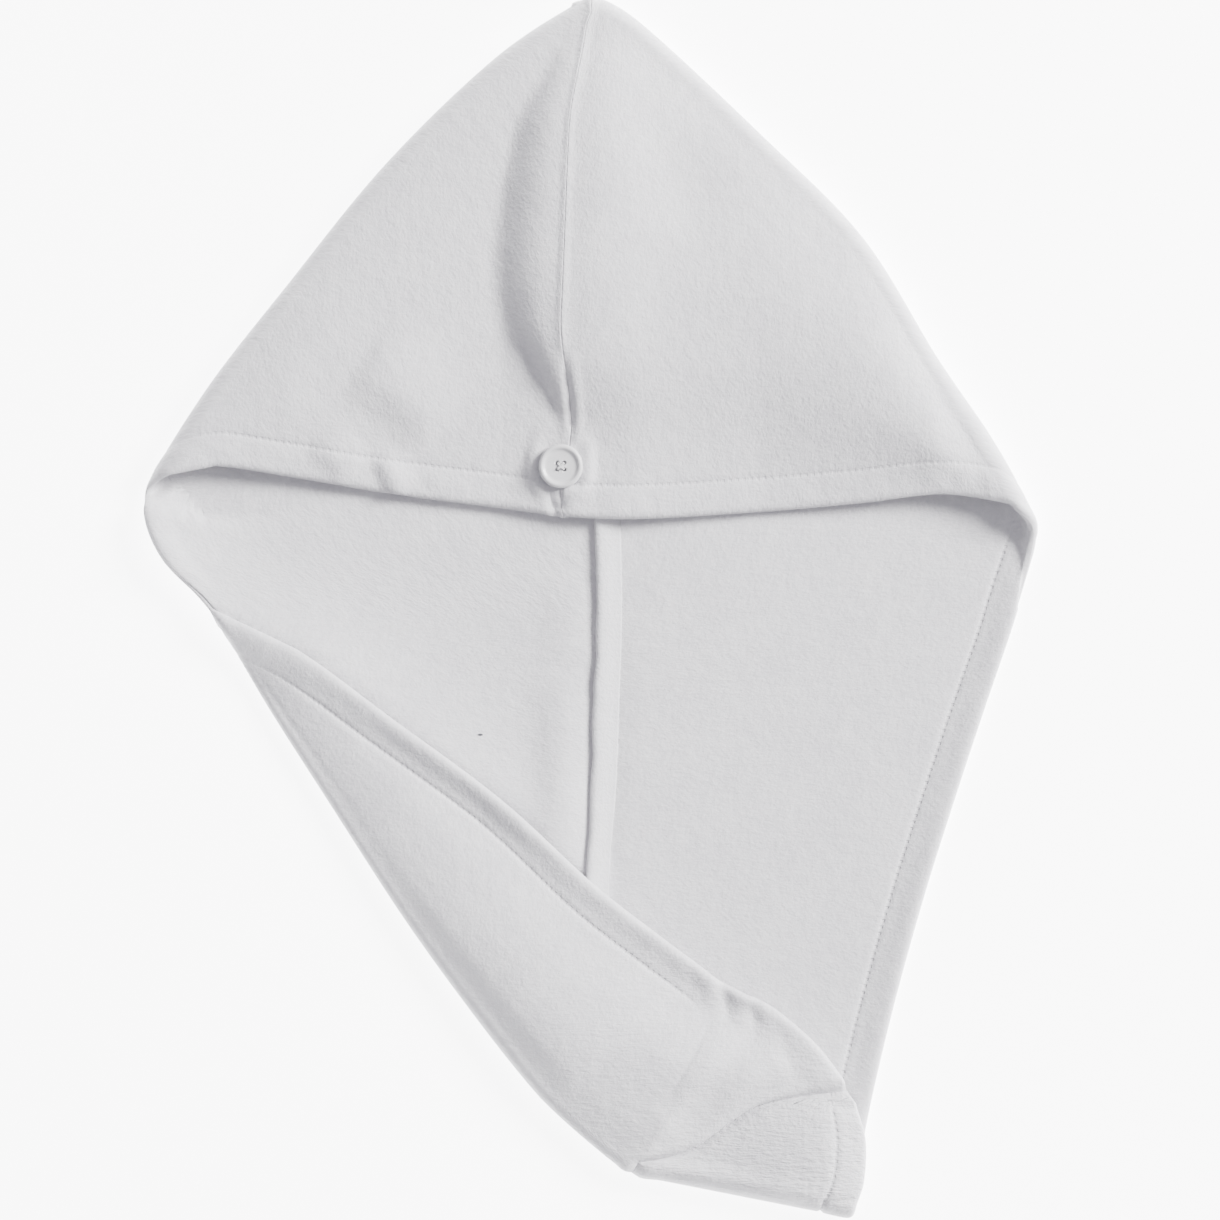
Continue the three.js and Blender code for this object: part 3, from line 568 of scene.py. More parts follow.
def lower_layer(columns, roll, keel, r):
    """From the roll's foot to the seam. Where the foot is raised, the layer starts at its height."""
    foot = roll_point(roll, "end_")
    points = [foot.lerp(keel, k / STEPS) for k in range(STEPS + 1)]
    if r > BOTTOM_FROM:
        return points
    raised = ease(straight(columns["bowl"], r))
    for p in points:
        away = ease((p.to_2d() - foot.to_2d()).length / 8)
        rise = floor_uneven(p, 1.7)
        if columns["side"] == "left":
            rise += max(0, relief(lower_curves, p.x, p.y))
        p.z = ON_FLOOR + away * rise * ease(((p - keel).length - 8) / 8)
        if columns["side"] == "left":
            p.z += ramp_height(p.x, p.y) * max(away, raised)
    return points


def line_length(points):
    return sum((b - a).length for a, b in zip(points, points[1:]))


print("crest from", [round(v) for v in crest_line[0]], "to", [round(v) for v in crest_line[-1]])

# %% Put a row together


def plain_row(columns, r, keel):
    """A row that has no roll: the tail's left part past the bump, and the right panel's lower part."""
    edges = columns["edges"]
    if columns["side"] == "right" and BOTTOM_FROM <= r <= BOTTOM_TO:
        edge = corner_point(r)
    else:
        edge = edge_at(edges, r)
    points = [edge.lerp(keel, k / STEPS) for k in range(STEPS + 1)]
    last, length = len(SECTIONS) - 1, (keel - edge).length
    for k, p in enumerate(points):
        t = k / STEPS
        if columns["side"] == "left":
            swell = (tail_folds(p, t) + uneven(p)) * ease((1 - t) / INSIDE) + tail_shoulder(t, length)
            p.z = edge.z + (keel.z - edge.z) * ease(t / TAIL_RISE)
            p.z += standing_edge(columns, r, length * t) + swell * ease((last - r) / 2)
        elif r > TAIL_END_FROM:
            swell = relief(tail_end_curves, p.x, p.y) + math.sin(math.pi * t)
            fade = ease((r - TAIL_END_FROM) / 1.3) * ease((last - r) / 0.7) * ease((1 - t) / 0.2)
            p.z += swell * fade
        elif r < BOTTOM_FROM:
            p.z += floor_uneven(p, 5.3) * ease((p - keel).length / 10)
    return [("upper" if columns["side"] == "left" else "lower", points)]


def row_of(columns, r):
    keel = keel_point(r)
    i = min(int(r), len(SECTIONS) - 2)
    if r > BOTTOM_TO or (columns["side"] == "right" and r >= RIGHT_FLAT):
        return plain_row(columns, r, keel)
    roll = roll_of(columns, r)
    on_top = roll_point(roll)
    parts = []
    if roll["turn"] < 1:
        edges = columns["edges"]
        if "edge" in columns["rows"][i] and "edge" in columns["rows"][i + 1]:
            edge = edge_at(edges, r)
        else:
            edge = edges[i].lerp(edges[i + 1], r - i)
        if (edge - on_top).length > 0.5:
            parts.append(("upper", upper_layer(columns, edge, on_top, r)))
    if roll["end_turn"] > roll["turn"] + 1 and roll["radius"] > 0.5:
        parts.append(("roll", roll_layer(roll)))
    if (roll_point(roll, "end_") - keel).length > 0.5:
        parts.append(("lower", lower_layer(columns, roll, keel, r)))
    return parts


print("a row's parts:", [(name, round(line_length(points))) for name, points in row_of(sides["left"], 3.5)])

# %% [markdown]
# ## From rows to a grid
# Each row is sampled at the same number of points: close together across the hem and on the roll,
# wider apart on the flat. The grid then has its squares where the cloth bends most.

# %% Sample the rows
HEM_STEPS = [0, 0.02, 0.06, 0.12, 0.2, 0.3, 0.42, 0.55, 0.68, 0.8, 0.9, 0.96, 1.0, 1.04, 1.1, 1.2]
SQUARES = {"upper": 34, "roll": 16, "lower": 24}
SEAM_SQUARES, SEAM_ROWS = 5, 7
LEAST_SQUARE, ROW_FINENESS = 0.25, 5


def widened(spans, least):
    spare = [max(0, a - b) for a, b in zip(spans, least)]
    short = sum(max(0, b - a) for a, b in zip(spans, least))
    factor = 1 - short / sum(spare)
    return [b + s * factor for b, s in zip(least, spare)]


def sample_row(parts):
    fine, lengths, part_length = [], [], {"upper": 0, "roll": 0, "lower": 0}
    for name, points in parts:
        for k, p in enumerate(points):
            if k:
                part_length[name] += (p - points[k - 1]).length
            if k or not fine:
                lengths.append(lengths[-1] + (p - fine[-1]).length if fine else 0)
                fine.append(p)
    length = lengths[-1]

    def find(value):
        n = int(clamp(bisect.bisect_left(lengths, value), 1, len(fine) - 1))
        t = clamp((value - lengths[n - 1]) / max(lengths[n] - lengths[n - 1], 1e-9))
        return fine[n - 1].lerp(fine[n], t)

    hem = min(HEM_WIDTH, 0.5 * length)
    seam = min(SEAM_WIDTH, 0.15 * length)
    hem_end = hem * HEM_STEPS[-1]
    upper_end = clamp(part_length["upper"], hem_end, length - seam)
    roll_end = clamp(part_length["upper"] + part_length["roll"], hem_end, length - seam)
    counts = list(SQUARES.values())
    small = min(LEAST_SQUARE, 0.6 * (length - seam - hem_end) / sum(counts))
    spans = widened(
        [upper_end - hem_end, roll_end - upper_end, length - seam - roll_end],
        [n * small for n in counts],
    )
    places = [share * hem for share in HEM_STEPS]
    start = hem_end
    for count, span in zip(counts, spans):
        places += [start + span * k / count for k in range(1, count + 1)]
        start += span
    places += [start + seam * k / SEAM_SQUARES for k in range(1, SEAM_SQUARES + 1)]
    return [find(v) for v in places], places, length


def row_places():
    first, second = (place(SECTIONS[i]["left"]["edge"]) for i in (0, 1))
    near = SEAM_WIDTH / (second - first).length
    places = [near * k / SEAM_ROWS for k in range(SEAM_ROWS + 1)]
    for i, section in enumerate(SECTIONS[:-1]):
        start = places[-1] if i == 0 else i
        count = section["rows"] * ROW_FINENESS
        places += [start + (i + 1 - start) * k / count for k in range(1, count + 1)]
    return places


def cloth_grid(columns):
    grid, across, to_seam = [], [], []
    for r in row_places():
        points, places, length = sample_row(row_of(columns, r))
        grid.append(points)
        across.append(places)
        to_seam.append([length - v for v in places])
    return {"side": columns["side"], "grid": grid, "across": across, "to_seam": to_seam}


cloths = {side: cloth_grid(columns) for side, columns in sides.items()}
ROWS, COLUMNS = len(cloths["left"]["grid"]), len(cloths["left"]["grid"][0])
print("rows:", ROWS, "columns:", COLUMNS)

# %% [markdown]
# ## The way the cloth faces
# The thickness goes on along the normals, so they are worked out from each point's neighbours.
# Along the seam both panels share one normal, and so meet without a step.

# %% Normals


def add_normals(cloth):
    grid = cloth["grid"]
    flip = -1 if cloth["side"] == "left" else 1
    normals = []
    for i, row in enumerate(grid):
        before, after = grid[max(i - 1, 0)], grid[min(i + 1, ROWS - 1)]
        line = []
        for j, p in enumerate(row):
            down = after[j] - before[j]
            over = row[min(j + 1, COLUMNS - 1)] - row[max(j - 1, 0)]
            line.append((down.cross(over)).normalized() * flip)
        normals.append(line)
    normals[0][-1] = (normals[0][-2] + normals[1][-1]).normalized()
    cloth["normals"] = normals


def sew(a, b):
    shared = [(0, j) for j in range(COLUMNS)] + [(i, COLUMNS - 1) for i in range(1, ROWS)]
    for i, j in shared:
        a["normals"][i][j] = b["normals"][i][j] = (a["normals"][i][j] + b["normals"][i][j]).normalized()


for cloth in cloths.values():
    add_normals(cloth)
sew(cloths["left"], cloths["right"])
print("normal at the hood's middle:", [round(v, 2) for v in cloths["right"]["normals"][ROWS // 12][40]])

# %% [markdown]
# ## Thickness
# The cloth is 2.4 mm through. The hem is turned in, so its band is twice as thick inside, rounded at
# the free edge and pressed down along its stitches. On the hood the seam is a narrow rib, and on the
# tail's end it is a groove in the pile.

# %% Thickness at a point
STITCH_DEPTH, STITCH_WIDTH = 1.0, 1.0
EDGE_ROUND = 3.2
PUCKER, PUCKER_SIZE, HEM_FULL = 0.45, 9, 0.5
RIB, RIB_WIDTH = 0.8, 2.4
GROOVE, GROOVE_WIDTH, GROOVE_FROM, GROOVE_TO = 1.5, 1.8, 0.13, 0.215
TIGHT_TURNS = [(5.6, 1.2), (8.3, 1.5)]
STITCHES = {
    "left": [(0, 0.4), (4, 0.4), (5, 0), (8.3, 0), (9.5, 0.8), (13, 0.7), (15, 0), (19, 0)],
    "right": [(0, 0.4), (5, 0.3), (6.5, 0.2), (7.3, 1), (16, 1), (17, 0.6), (19, 0.4)],
}
rows_r = row_places()


def hem_profile(distance):
    """How much of the thickness there is at a distance from the free edge."""
    if distance >= EDGE_ROUND:
        return 1
    return math.sqrt(max(0, 1 - (1 - distance / EDGE_ROUND) ** 2))


def stitch_share(side, r):
    """How clearly the hem's stitches show: plain on the lower layer, faint on the hood, none in the bowl."""
    return between(STITCHES[side], r, clamp)


def stitch_dip(distance):
    return STITCH_DEPTH * math.exp(-(((distance - HEM_WIDTH) / STITCH_WIDTH) ** 2))


def hood_seam(distance, share, left):
    """By the distance from the first row: a rib, and just above the button a groove on its right."""
    grooved = ease((share - GROOVE_FROM) / 0.02) * ease((GROOVE_TO - share) / 0.03)
    rib = RIB * math.exp(-((distance / RIB_WIDTH) ** 2)) * (1 - grooved)
    beside = 0 if left else 0.6 * math.exp(-(((distance - 4) / 2.5) ** 2))
    return rib + grooved * (beside - GROOVE * math.exp(-((distance / GROOVE_WIDTH) ** 2)))


def tail_seam(distance):
    """A groove, with the pile a little higher beside it."""
    return -1.5 * math.exp(-((distance / 2.0) ** 2)) + 0.9 * math.exp(-(((distance - 6.5) / 4.5) ** 2))


def outer_and_inner(cloth, i, j):
    """How far the outer and the inner side stand from the middle of the cloth."""
    d, to_seam, r = cloth["across"][i][j], cloth["to_seam"][i][j], rows_r[i]
    p, left = cloth["grid"][i][j], cloth["side"] == "left"
    whole = hem_profile(d)
    pucker = PUCKER * noise.noise(Vector((p.x, p.y, p.z)) / PUCKER_SIZE + Vector((0, 0, 7)))
    band = ease(1 - abs(d - 0.45 * HEM_WIDTH) / (0.7 * HEM_WIDTH))
    dip = stitch_dip(d) * stitch_share(cloth["side"], r)
    outer = WALL / 2 + band * (HEM_FULL + pucker) - dip
    folded = WALL * ease((0.95 * HEM_WIDTH - d) / (0.8 * HEM_WIDTH))
    if left:
        folded *= 1 - 0.75 * max(ease(reach - abs(r - at)) for at, reach in TIGHT_TURNS)
    inner = WALL / 2 + folded - 0.6 * dip + band * pucker * 0.5
    middle = (outer - inner) / 2
    if r < 1 and to_seam > 4:
        outer += hood_seam((p - cloth["grid"][0][j]).length, p.y / LENGTH, left)
    if r > BOTTOM_FROM:
        outer += tail_seam(to_seam) * ease((r - BOTTOM_FROM) / 1.5)
    return middle + (outer - middle) * whole, -middle + (inner + middle) * whole


sample = outer_and_inner(cloths["left"], 60, 8)
print("outer and inner in the hem, mm:", [round(v, 2) for v in sample])

# %% [markdown]
# ## The panels' meshes
# A plain grid is made with the grid operator and moved onto the outer side. A copy becomes the
# inner side, and bridging the two borders closes the cloth. Its UV map is in metres along and across
# the cloth, so that the pile and the stitches follow the weave and not the room.

# %% Build a panel


def to_frame(p):
    return Vector(((p.x + SHIFT.x) * MM, (p.y + SHIFT.y) * MM, p.z * MM))


def mesh_object(name, bm, material_slot, *nodes):
    mesh = mesh_of(name, bm)
    for face in mesh.polygons:
        face.use_smooth = True
    thing = new_object(name, mesh)
    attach(thing, "root")
    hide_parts(*nodes)
    return thing


def grid_of(bm, rows, columns):
    """A grid made by the operator, as rows of vertices."""
    made = bmesh.ops.create_grid(bm, x_segments=columns - 1, y_segments=rows - 1, size=1)["verts"]
    made.sort(key=lambda v: (round((v.co.y + 1) / 2 * (rows - 1)), v.co.x))
    return [made[i * columns:(i + 1) * columns] for i in range(rows)]


def closed(bm):
    """Merge the points that meet, fill open ends, and turn the faces outward."""
    bmesh.ops.remove_doubles(bm, verts=bm.verts[:], dist=1e-6)
    bmesh.ops.holes_fill(bm, edges=[e for e in bm.edges if e.is_boundary], sides=0)
    bmesh.ops.recalc_face_normals(bm, faces=bm.faces[:])
    return bm


def along_edge(cloth):
    total, places = 0, [0]
    for a, b in zip(cloth["grid"], cloth["grid"][1:]):
        total += (b[0] - a[0]).length
        places.append(total)
    return places


def build_panel(cloth):
    bm = bmesh.new()
    uv = bm.loops.layers.uv.new("cloth")
    stitch, shag = bm.verts.layers.float.new("stitch"), bm.verts.layers.float.new("shag")
    outer = grid_of(bm, ROWS, COLUMNS)
    places = along_edge(cloth)
    spot = {v: (i, j) for i, row in enumerate(outer) for j, v in enumerate(row)}
    for v, (i, j) in spot.items():
        r = rows_r[i]
        v[stitch] = stitch_share(cloth["side"], r)
        tail_end = ease((r - 15.3) / 0.7) if cloth["side"] == "right" else 0.35 * ease((r - 11) / 3)
        v[shag] = 0.12 + 0.88 * tail_end
    for face in bm.faces:
        for loop in face.loops:
            i, j = spot[loop.vert]
            loop[uv].uv = (places[i] * MM, cloth["across"][i][j] * MM)
    copied = bmesh.ops.duplicate(bm, geom=bm.verts[:] + bm.edges[:] + bm.faces[:])
    inner = {a: b for a, b in copied["vert_map"].items() if isinstance(a, bmesh.types.BMVert)}
    bmesh.ops.reverse_faces(bm, faces=[f for f in copied["geom"] if isinstance(f, bmesh.types.BMFace)])
    for v, (i, j) in spot.items():
        up, down = outer_and_inner(cloth, i, j)
        p, n = cloth["grid"][i][j], cloth["normals"][i][j]
        v.co = to_frame(p + n * up)
        inner[v].co = to_frame(p - n * down)
    border = [e for e in bm.edges if e.is_boundary]
    bmesh.ops.bridge_loops(bm, edges=border)
    bmesh.ops.recalc_face_normals(bm, faces=bm.faces[:])
    return bm


panels = {}
for side, cloth in cloths.items():
    panels[side] = mesh_object(f"{side}_panel_cloth", build_panel(cloth), "fleece", f"{side}_panel")
    print(side, "panel faces:", len(panels[side].data.polygons))

# %% [markdown]
# ## The seam allowance
# Both panels' cut edges are overlocked together and lie to one side, on the inner face. It is a soft
# strip that starts thin at the seam and stands up at its wavy free edge, where its shadow falls.
# Each ring of the strip is one slice across it, and a grid closed on itself joins them.

# %% Seam allowance
AROUND = 12
STRIP_WIDTH, STRIP_OVER, STRIP_WAVE = 10.5, 2.5, 2.4
STRIP_THIN, STRIP_THICK, STRIP_SUNK = 0.12, 2.6, 0.1


def strip_stations(cloth):
    """For each place along the seam: the seam point, the way across the strip, and the cloth's normal."""
    grid, normals = cloth["grid"], cloth["normals"]
    start = len(HEM_STEPS) - 1
    stations = []
    for j in range(start, COLUMNS - 3, 2):
        stations.append((grid[0][j], grid[SEAM_ROWS][j] - grid[0][j], normals[0][j]))
    for i in range(SEAM_ROWS + 1, ROWS - 12, 2):
        stations.append((grid[i][-1], grid[i][-1 - SEAM_SQUARES] - grid[i][-1], normals[i][-1]))
    return stations


def build_strip(cloth):
    stations = strip_stations(cloth)
    bm = bmesh.new()
    rings = grid_of(bm, len(stations), AROUND + 1)
    gone = 0
    for k, (seam, way, normal) in enumerate(stations):
        if k:
            gone += (seam - stations[k - 1][0]).length
        way = (way - normal * way.dot(normal)).normalized()
        wave = noise.noise(Vector((gone / 38, 4.2, 0))) + 0.4 * noise.noise(Vector((gone / 11, 9.2, 0)))
        width = STRIP_WIDTH + STRIP_WAVE * wave
        lift = 0.35 * noise.noise(Vector((gone / 16, 1.2, 3)))
        for n, v in enumerate(rings[k]):
            turn = 2 * math.pi * n / AROUND
            side = 0.5 - 0.5 * math.cos(turn)
            thick = STRIP_THIN + (STRIP_THICK + lift) * side ** 1.3
            out = (width + STRIP_OVER) * side - STRIP_OVER
            rise = WALL / 2 + thick * (1 + math.sin(turn)) - STRIP_SUNK
            v.co = to_frame(seam + way * out - normal * rise)
    return closed(bm)


strip = mesh_object("seam_allowance", build_strip(cloths["left"]), "seam", "centre_seam")
print("strip faces:", len(strip.data.polygons))

# %% [markdown]
# ## The button and its thread
# A moulded plastic button is round, so its half section is spun about the axis. The holes are cut
# with four posts, and the thread is two strands that cross over the dished middle.

# %% Button
BUTTON_WIDTH, BUTTON_THICK, BUTTON_RIM, BUTTON_DISH, BUTTON_ROUND = 21.5, 3.4, 2.7, 1.1, 0.95
HOLE_WIDTH, HOLE_SPACING = 2.0, 3.2
button_low, button_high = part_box("button")
button_centre = (button_low + button_high) / 2
button_base = Vector((button_centre.x, button_centre.y, button_low.z))


def button_outline():
    radius, inside = BUTTON_WIDTH / 2, BUTTON_WIDTH / 2 - BUTTON_RIM
    floor = BUTTON_THICK - BUTTON_DISH
    points = [(0, 0), (radius - BUTTON_ROUND, 0)]
    points += [(radius - BUTTON_ROUND * (1 - math.sin(a)), BUTTON_ROUND * (1 - math.cos(a)))
               for a in (k * math.pi / 8 for k in range(1, 5))]
    top = BUTTON_THICK - BUTTON_RIM / 2
    points += [(radius - BUTTON_RIM / 2 * (1 - math.cos(a)), top + BUTTON_RIM / 2 * math.sin(a))
               for a in (k * math.pi / 6 for k in range(5))]
    points += [(inside + 0.1, floor + 0.35), (inside - 0.5, floor + 0.05), (inside - 1.4, floor - 0.05),
               (0.35 * radius, floor - 0.12), (0, floor - 0.15)]
    return points


def spun(points, steps=64):
    bm = bmesh.new()
    verts = [bm.verts.new((x * MM, 0, z * MM)) for x, z in points]
    edges = [bm.edges.new(pair) for pair in zip(verts, verts[1:])]
    bmesh.ops.spin(bm, geom=verts + edges, cent=(0, 0, 0), axis=(0, 0, 1), angle=2 * math.pi,
                   steps=steps, use_merge=True)
    return closed(bm)


def cut_holes(thing):
    bm = bmesh.new()
    for x in (-1, 1):
        for y in (-1, 1):
            made = bmesh.ops.create_cone(bm, cap_ends=True, segments=24, radius1=HOLE_WIDTH / 2 * MM,
                                         radius2=HOLE_WIDTH / 2 * MM, depth=4 * BUTTON_THICK * MM)
            at = Vector((x, y, 0)) * (HOLE_SPACING / 2 * MM)
            bmesh.ops.translate(bm, verts=made["verts"], vec=at + button_base)
    posts = new_object("posts", mesh_of("posts", bm))
    cut = thing.modifiers.new("holes", "BOOLEAN")
    cut.object = posts
    cut.operation = "DIFFERENCE"
    cut.solver = "EXACT"
    bpy.context.view_layer.update()
    done = bpy.data.meshes.new_from_object(thing.evaluated_get(bpy.context.evaluated_depsgraph_get()))
    thing.modifiers.clear()
    thing.data = done
    bpy.data.objects.remove(posts)


bm = spun(button_outline())
bmesh.ops.translate(bm, verts=bm.verts[:], vec=button_base)
button = mesh_object("moulded_button", bm, "button", "button")
cut_holes(button)
print("button faces:", len(button.data.polygons))

# %% Thread
YARN_RADIUS, YARNS_APART, STRAND_STEPS = 0.27, 0.28, 24


def strand(bm, line, side, radius, around=8):
    """A round strand along a line of points in metres, in the plane that `side` stands on."""
    rings = grid_of(bm, len(line), around + 1)
    for k, p in enumerate(line):
        ahead = (line[min(k + 1, len(line) - 1)] - line[max(k - 1, 0)]).normalized()
        up = side.cross(ahead)
        for n, v in enumerate(rings[k]):
            turn = 2 * math.pi * n / around
            v.co = p + (side * math.cos(turn) + up * math.sin(turn)) * radius


bm = bmesh.new()
half = HOLE_SPACING / 2
floor = BUTTON_THICK - BUTTON_DISH
for turn, high in ((1, 0.75), (-1, 0.35)):
    side = Vector((turn, -1, 0)).normalized()
    for offset in (-YARNS_APART, YARNS_APART):
        line = []
        for k in range(STRAND_STEPS + 1):
            t = -1 + 2 * k / STRAND_STEPS
            x = clamp(t * 1.5, -1, 1) * half
            z = floor + high - max(0, abs(t) - 0.6) * 9
            line.append(button_base + (Vector((x, turn * x, z)) + side * offset * turn) * MM)
        strand(bm, line, side, YARN_RADIUS * MM)
thread = mesh_object("sewing_thread", closed(bm), "thread", "button_thread")
print("thread faces:", len(thread.data.polygons))

# %% [markdown]
# ## Shader maths
# A small class wraps a socket, so that a pattern can be written as an expression. Each operator adds
# one Math node.

# %% Expressions on sockets


class Value:
    """A number that varies over the surface, as a socket in a material's node tree."""

    def __init__(self, nodes, socket):
        self.nodes, self.socket = nodes, socket

    def made(self, operation, *others):
        values = dict(enumerate((self, *others)))
        return self.nodes.add("ShaderNodeMath", {"operation": operation}, values)

    def __add__(self, other):
        return self.made("ADD", other)

    __radd__ = __add__

    def __mul__(self, other):
        return self.made("MULTIPLY", other)

    __rmul__ = __mul__

    def __sub__(self, other):
        return self.made("SUBTRACT", other)

    def __rsub__(self, other):
        return self.nodes.add("ShaderNodeMath", {"operation": "SUBTRACT"}, {0: other, 1: self})

    def __truediv__(self, other):
        return self.made("DIVIDE", other)

    def wave(self):
        return self.made("SINE")

    def size(self):
        return self.made("ABSOLUTE")

    def step(self, low, high):
        return self.nodes.add("ShaderNodeMapRange", {"interpolation_type": "SMOOTHSTEP"},
                              {"Value": self, "From Min": low, "From Max": high})


class Nodes:
    """One material's nodes."""

    def __init__(self, name):
        self.material = bpy.data.materials.new(name)
        self.material.use_nodes = True
        self.tree = self.material.node_tree
        self.shader = self.tree.nodes["Principled BSDF"]

    def add(self, kind, settings=None, values=None, out=0):
        node = self.tree.nodes.new(kind)
        for name, value in (settings or {}).items():
            setattr(node, name, value)
        for name, value in (values or {}).items():
            self.put(node.inputs[name], value)
        return Value(self, node.outputs[out])

    def put(self, socket, value):
        if isinstance(value, Value):
            self.tree.links.new(value.socket, socket)
        else:
            socket.default_value = value

    def set(self, **values):
        for name, value in values.items():
            self.put(self.shader.inputs[name.replace("_", " ")], value)

    def noise(self, vector, scale, detail=2.0, rough=0.5):
        values = {"Vector": vector, "Scale": scale, "Detail": detail, "Roughness": rough}
        return self.add("ShaderNodeTexNoise", {}, values)

    def spot(self):
        """The place on the object, in metres."""
        return self.add("ShaderNodeTexCoord", out=3)

    def part(self, vector, index):
        """One coordinate of a vector: 0 for x, 1 for y."""
        return self.add("ShaderNodeSeparateXYZ", {}, {0: vector}, out=index)

    def attribute(self, name):
        return self.add("ShaderNodeAttribute", {"attribute_name": name}, out=2)

    def stretched(self, vector, scale):
        return self.add("ShaderNodeMapping", {}, {"Vector": vector, "Scale": scale})

    def blend(self, share, a, b):
        return self.add("ShaderNodeMix", {"data_type": "RGBA"}, {"Factor": share, 6: a, 7: b}, out=2)

    def bump(self, height, distance, strength):
        return self.add("ShaderNodeBump", {}, {"Height": height, "Distance": distance, "Strength": strength})


print("shader helpers ready")

# %% [markdown]
# ## Plush fleece
# The pile is short and brushed, so up close it shows fine tufts that lean across the towel, and
# further off a soft mottling. Fibres that stand away from the surface catch light at grazing angles,
# which is what the shader's sheen is for. The bump follows the cloth's own UV map, and at the end of
# the tail the pile is longer and lies sideways. A few specks of lint lie on the lower layer.

# %% Fleece material
STITCH_REACH, STITCH_LENGTH = 0.0011, 0.0034
PILE = {"Sheen_Weight": 0.35, "Sheen_Roughness": 0.45, "Specular_IOR_Level": 0.15}


def fleece(name, pile, light, dark):
    nodes = Nodes(name)
    cloth = nodes.add("ShaderNodeUVMap", {"uv_map": "cloth"})
    spot = nodes.spot()
    tufts = nodes.noise(nodes.stretched(cloth, (1, 0.75, 1)), 640, 3, 0.6)
    clumps = nodes.noise(nodes.stretched(cloth, (1, 0.85, 1)), 170, 2)
    clouds = nodes.noise(spot, 38, 3)
    strands = nodes.noise(nodes.stretched(spot, (0.3, 1.5, 1)), 420, 3, 0.6)
    along, across = nodes.part(cloth, 0), nodes.part(cloth, 1)
    near_stitch = 1 - ((across - HEM_WIDTH * MM).size() / STITCH_REACH).step(0.4, 1)
    stitches = near_stitch * (along * (2 * math.pi / STITCH_LENGTH)).wave().step(0, 0.6)
    height = tufts * 0.5 + clumps * 0.6 + strands * nodes.attribute("shag") * 1.6
    height = height - stitches * nodes.attribute("stitch") * 0.5
    tone = (tufts * 0.35 + clumps * 0.3 + clouds * 0.35).step(0.3, 0.7)
    colour = nodes.blend(tone, dark, light)
    for speck in SPECKS:
        x, y = place(speck["at"]) + SHIFT
        shape = nodes.stretched(nodes.add("ShaderNodeVectorMath", {"operation": "SUBTRACT"},
                                          {0: spot, 1: (x * MM, y * MM, 0)}), (speck["thin"], 1, 0))
        distance = nodes.add("ShaderNodeVectorMath", {"operation": "LENGTH"}, {0: shape}, out=1)
        near = (1 - (distance / (speck["size"] * MM)).step(0.6, 1.1)) * speck["strength"]
        colour = nodes.blend(near, colour, speck["colour"])
    nodes.set(Base_Color=colour, Roughness=0.85 + 0.1 * tufts, Normal=nodes.bump(height, pile, 0.7), **PILE)
    return nodes.material


FAINT = {"size": 0.5, "thin": 1, "strength": 0.35, "colour": (0.4, 0.38, 0.38, 1)}
SPECKS = [
    {"at": (-0.1236, -0.105), "size": 0.7, "thin": 0.45, "strength": 0.95, "colour": (0.05, 0.05, 0.06, 1)},
    {**FAINT, "at": (0.146, 0.0328), "strength": 0.4},
    {**FAINT, "at": (0.0509, -0.2282)},
    {**FAINT, "at": (0.2668, -0.1502)},
]
white = fleece("plush_fleece", 0.0011, (0.79, 0.785, 0.80, 1), (0.68, 0.672, 0.70, 1))
for panel in panels.values():
    panel.data.materials.append(white)
print("fleece nodes:", len(white.node_tree.nodes))

# %% [markdown]
# ## Seam, button and thread finishes
# The allowance is the same fleece with overlock thread across it. The button is glossy moulded
# plastic with faint flow marks, and the thread is twisted.

# %% Other materials


def overlocked(name):
    nodes = Nodes(name)
    spot = nodes.spot()
    fuzz = nodes.noise(spot, 700, 3, 0.6)
    soft = nodes.noise(spot, 120, 2)
    loops = (nodes.part(spot, 1) * (2 * math.pi / 0.003)).wave()
    colour = nodes.blend(fuzz, (0.70, 0.695, 0.72, 1), (0.80, 0.795, 0.81, 1))
    nodes.set(Base_Color=colour, Roughness=0.9 - 0.1 * soft,
              Normal=nodes.bump(fuzz * 0.6 + soft * 0.8 + loops * 0.03, 0.0008, 0.8), **PILE)
    return nodes.material


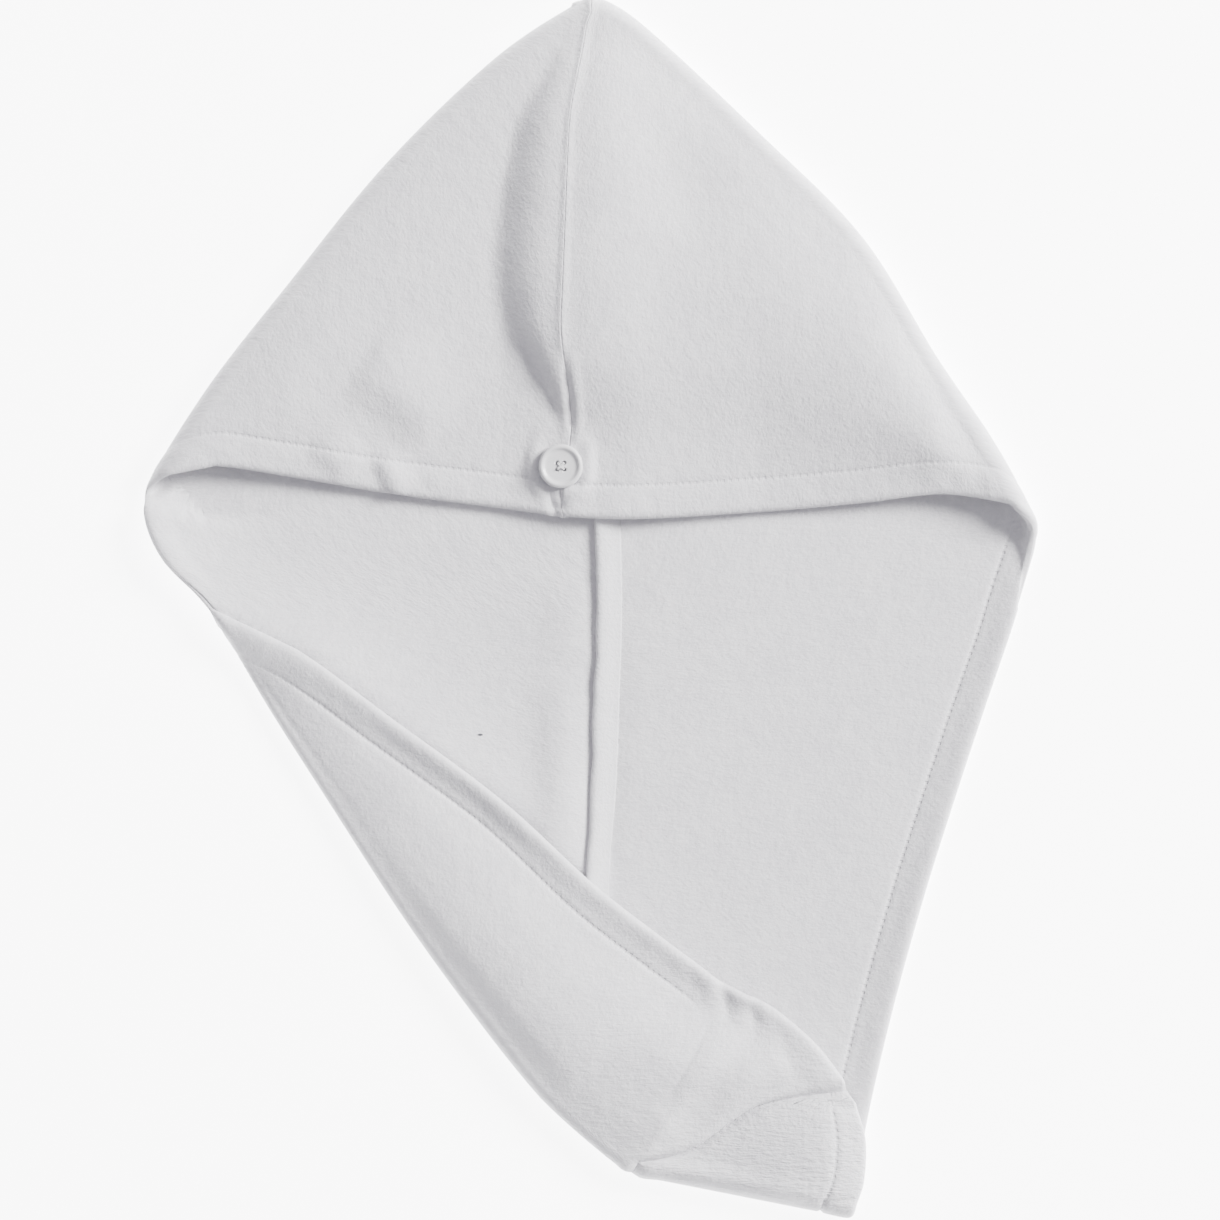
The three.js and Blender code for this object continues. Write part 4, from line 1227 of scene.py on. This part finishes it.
def moulded(name):
    nodes = Nodes(name)
    spot = nodes.spot()
    marks = nodes.noise(nodes.stretched(spot, (1, 2.5, 1)), 160, 3)
    grain = nodes.noise(spot, 1800, 2)
    colour = nodes.blend(marks, (0.66, 0.66, 0.67, 1), (0.72, 0.72, 0.73, 1))
    nodes.set(Base_Color=colour, Roughness=0.22 + 0.12 * marks, Coat_Roughness=0.12,
              Normal=nodes.bump(grain, 0.00003, 0.4))
    return nodes.material


def twisted(name):
    nodes = Nodes(name)
    spot = nodes.spot()
    twist = ((nodes.part(spot, 0) * 1.3 + nodes.part(spot, 1)) * (2 * math.pi / 0.0006)).wave()
    colour = nodes.blend(twist.step(-1, 1), (0.78, 0.78, 0.79, 1), (0.9, 0.9, 0.9, 1))
    nodes.set(Base_Color=colour, Roughness=0.75 + 0.1 * twist, Normal=nodes.bump(twist, 0.00008, 0.6))
    return nodes.material


strip.data.materials.append(overlocked("overlocked_edge"))
button.data.materials.clear()
button.data.materials.append(moulded("white_plastic"))
thread.data.materials.append(twisted("white_thread"))
print("materials:", sorted(m.name for m in bpy.data.materials if m.users))

# %% [markdown]
# ## Floor and light
# A product shot like this has a white floor and soft light from above, a little stronger from the
# top right, so that slopes which face down and left fall into a cool grey.

# %% Floor
bm = bmesh.new()
bmesh.ops.create_grid(bm, x_segments=1, y_segments=1, size=6)
floor = new_object("floor", mesh_of("floor", bm))
paper = Nodes("white_floor")
paper.set(Base_Color=(0.95, 0.95, 0.95, 1), Roughness=0.9, Specular_IOR_Level=0.1,
          Emission_Color=(1, 1, 1, 1), Emission_Strength=7)
floor.data.materials.append(paper.material)
print("floor, m:", 12)

# %% Lights
lamp = bpy.data.lights.new("key_light", "AREA")
lamp.size, lamp.energy, lamp.color = 2.2, 1380, (1, 0.99, 0.985)
key = new_object("key_light", lamp)
key.location = (4.6, 2.3, 3.1)
key.rotation_euler = (-key.location).to_track_quat("-Z", "Y").to_euler()
world = bpy.data.worlds.new("studio")
world.use_nodes = True
background = world.node_tree.nodes["Background"].inputs
background["Color"].default_value = (0.94, 0.92, 1, 1)
background["Strength"].default_value = 0.6
bpy.context.scene.world = world
print("lights:", len(bpy.data.lights))

# %% [markdown]
# ## Last step
# The view layer is brought up to date, so that every object's place is worked out.

# %% Update
bpy.context.view_layer.update()
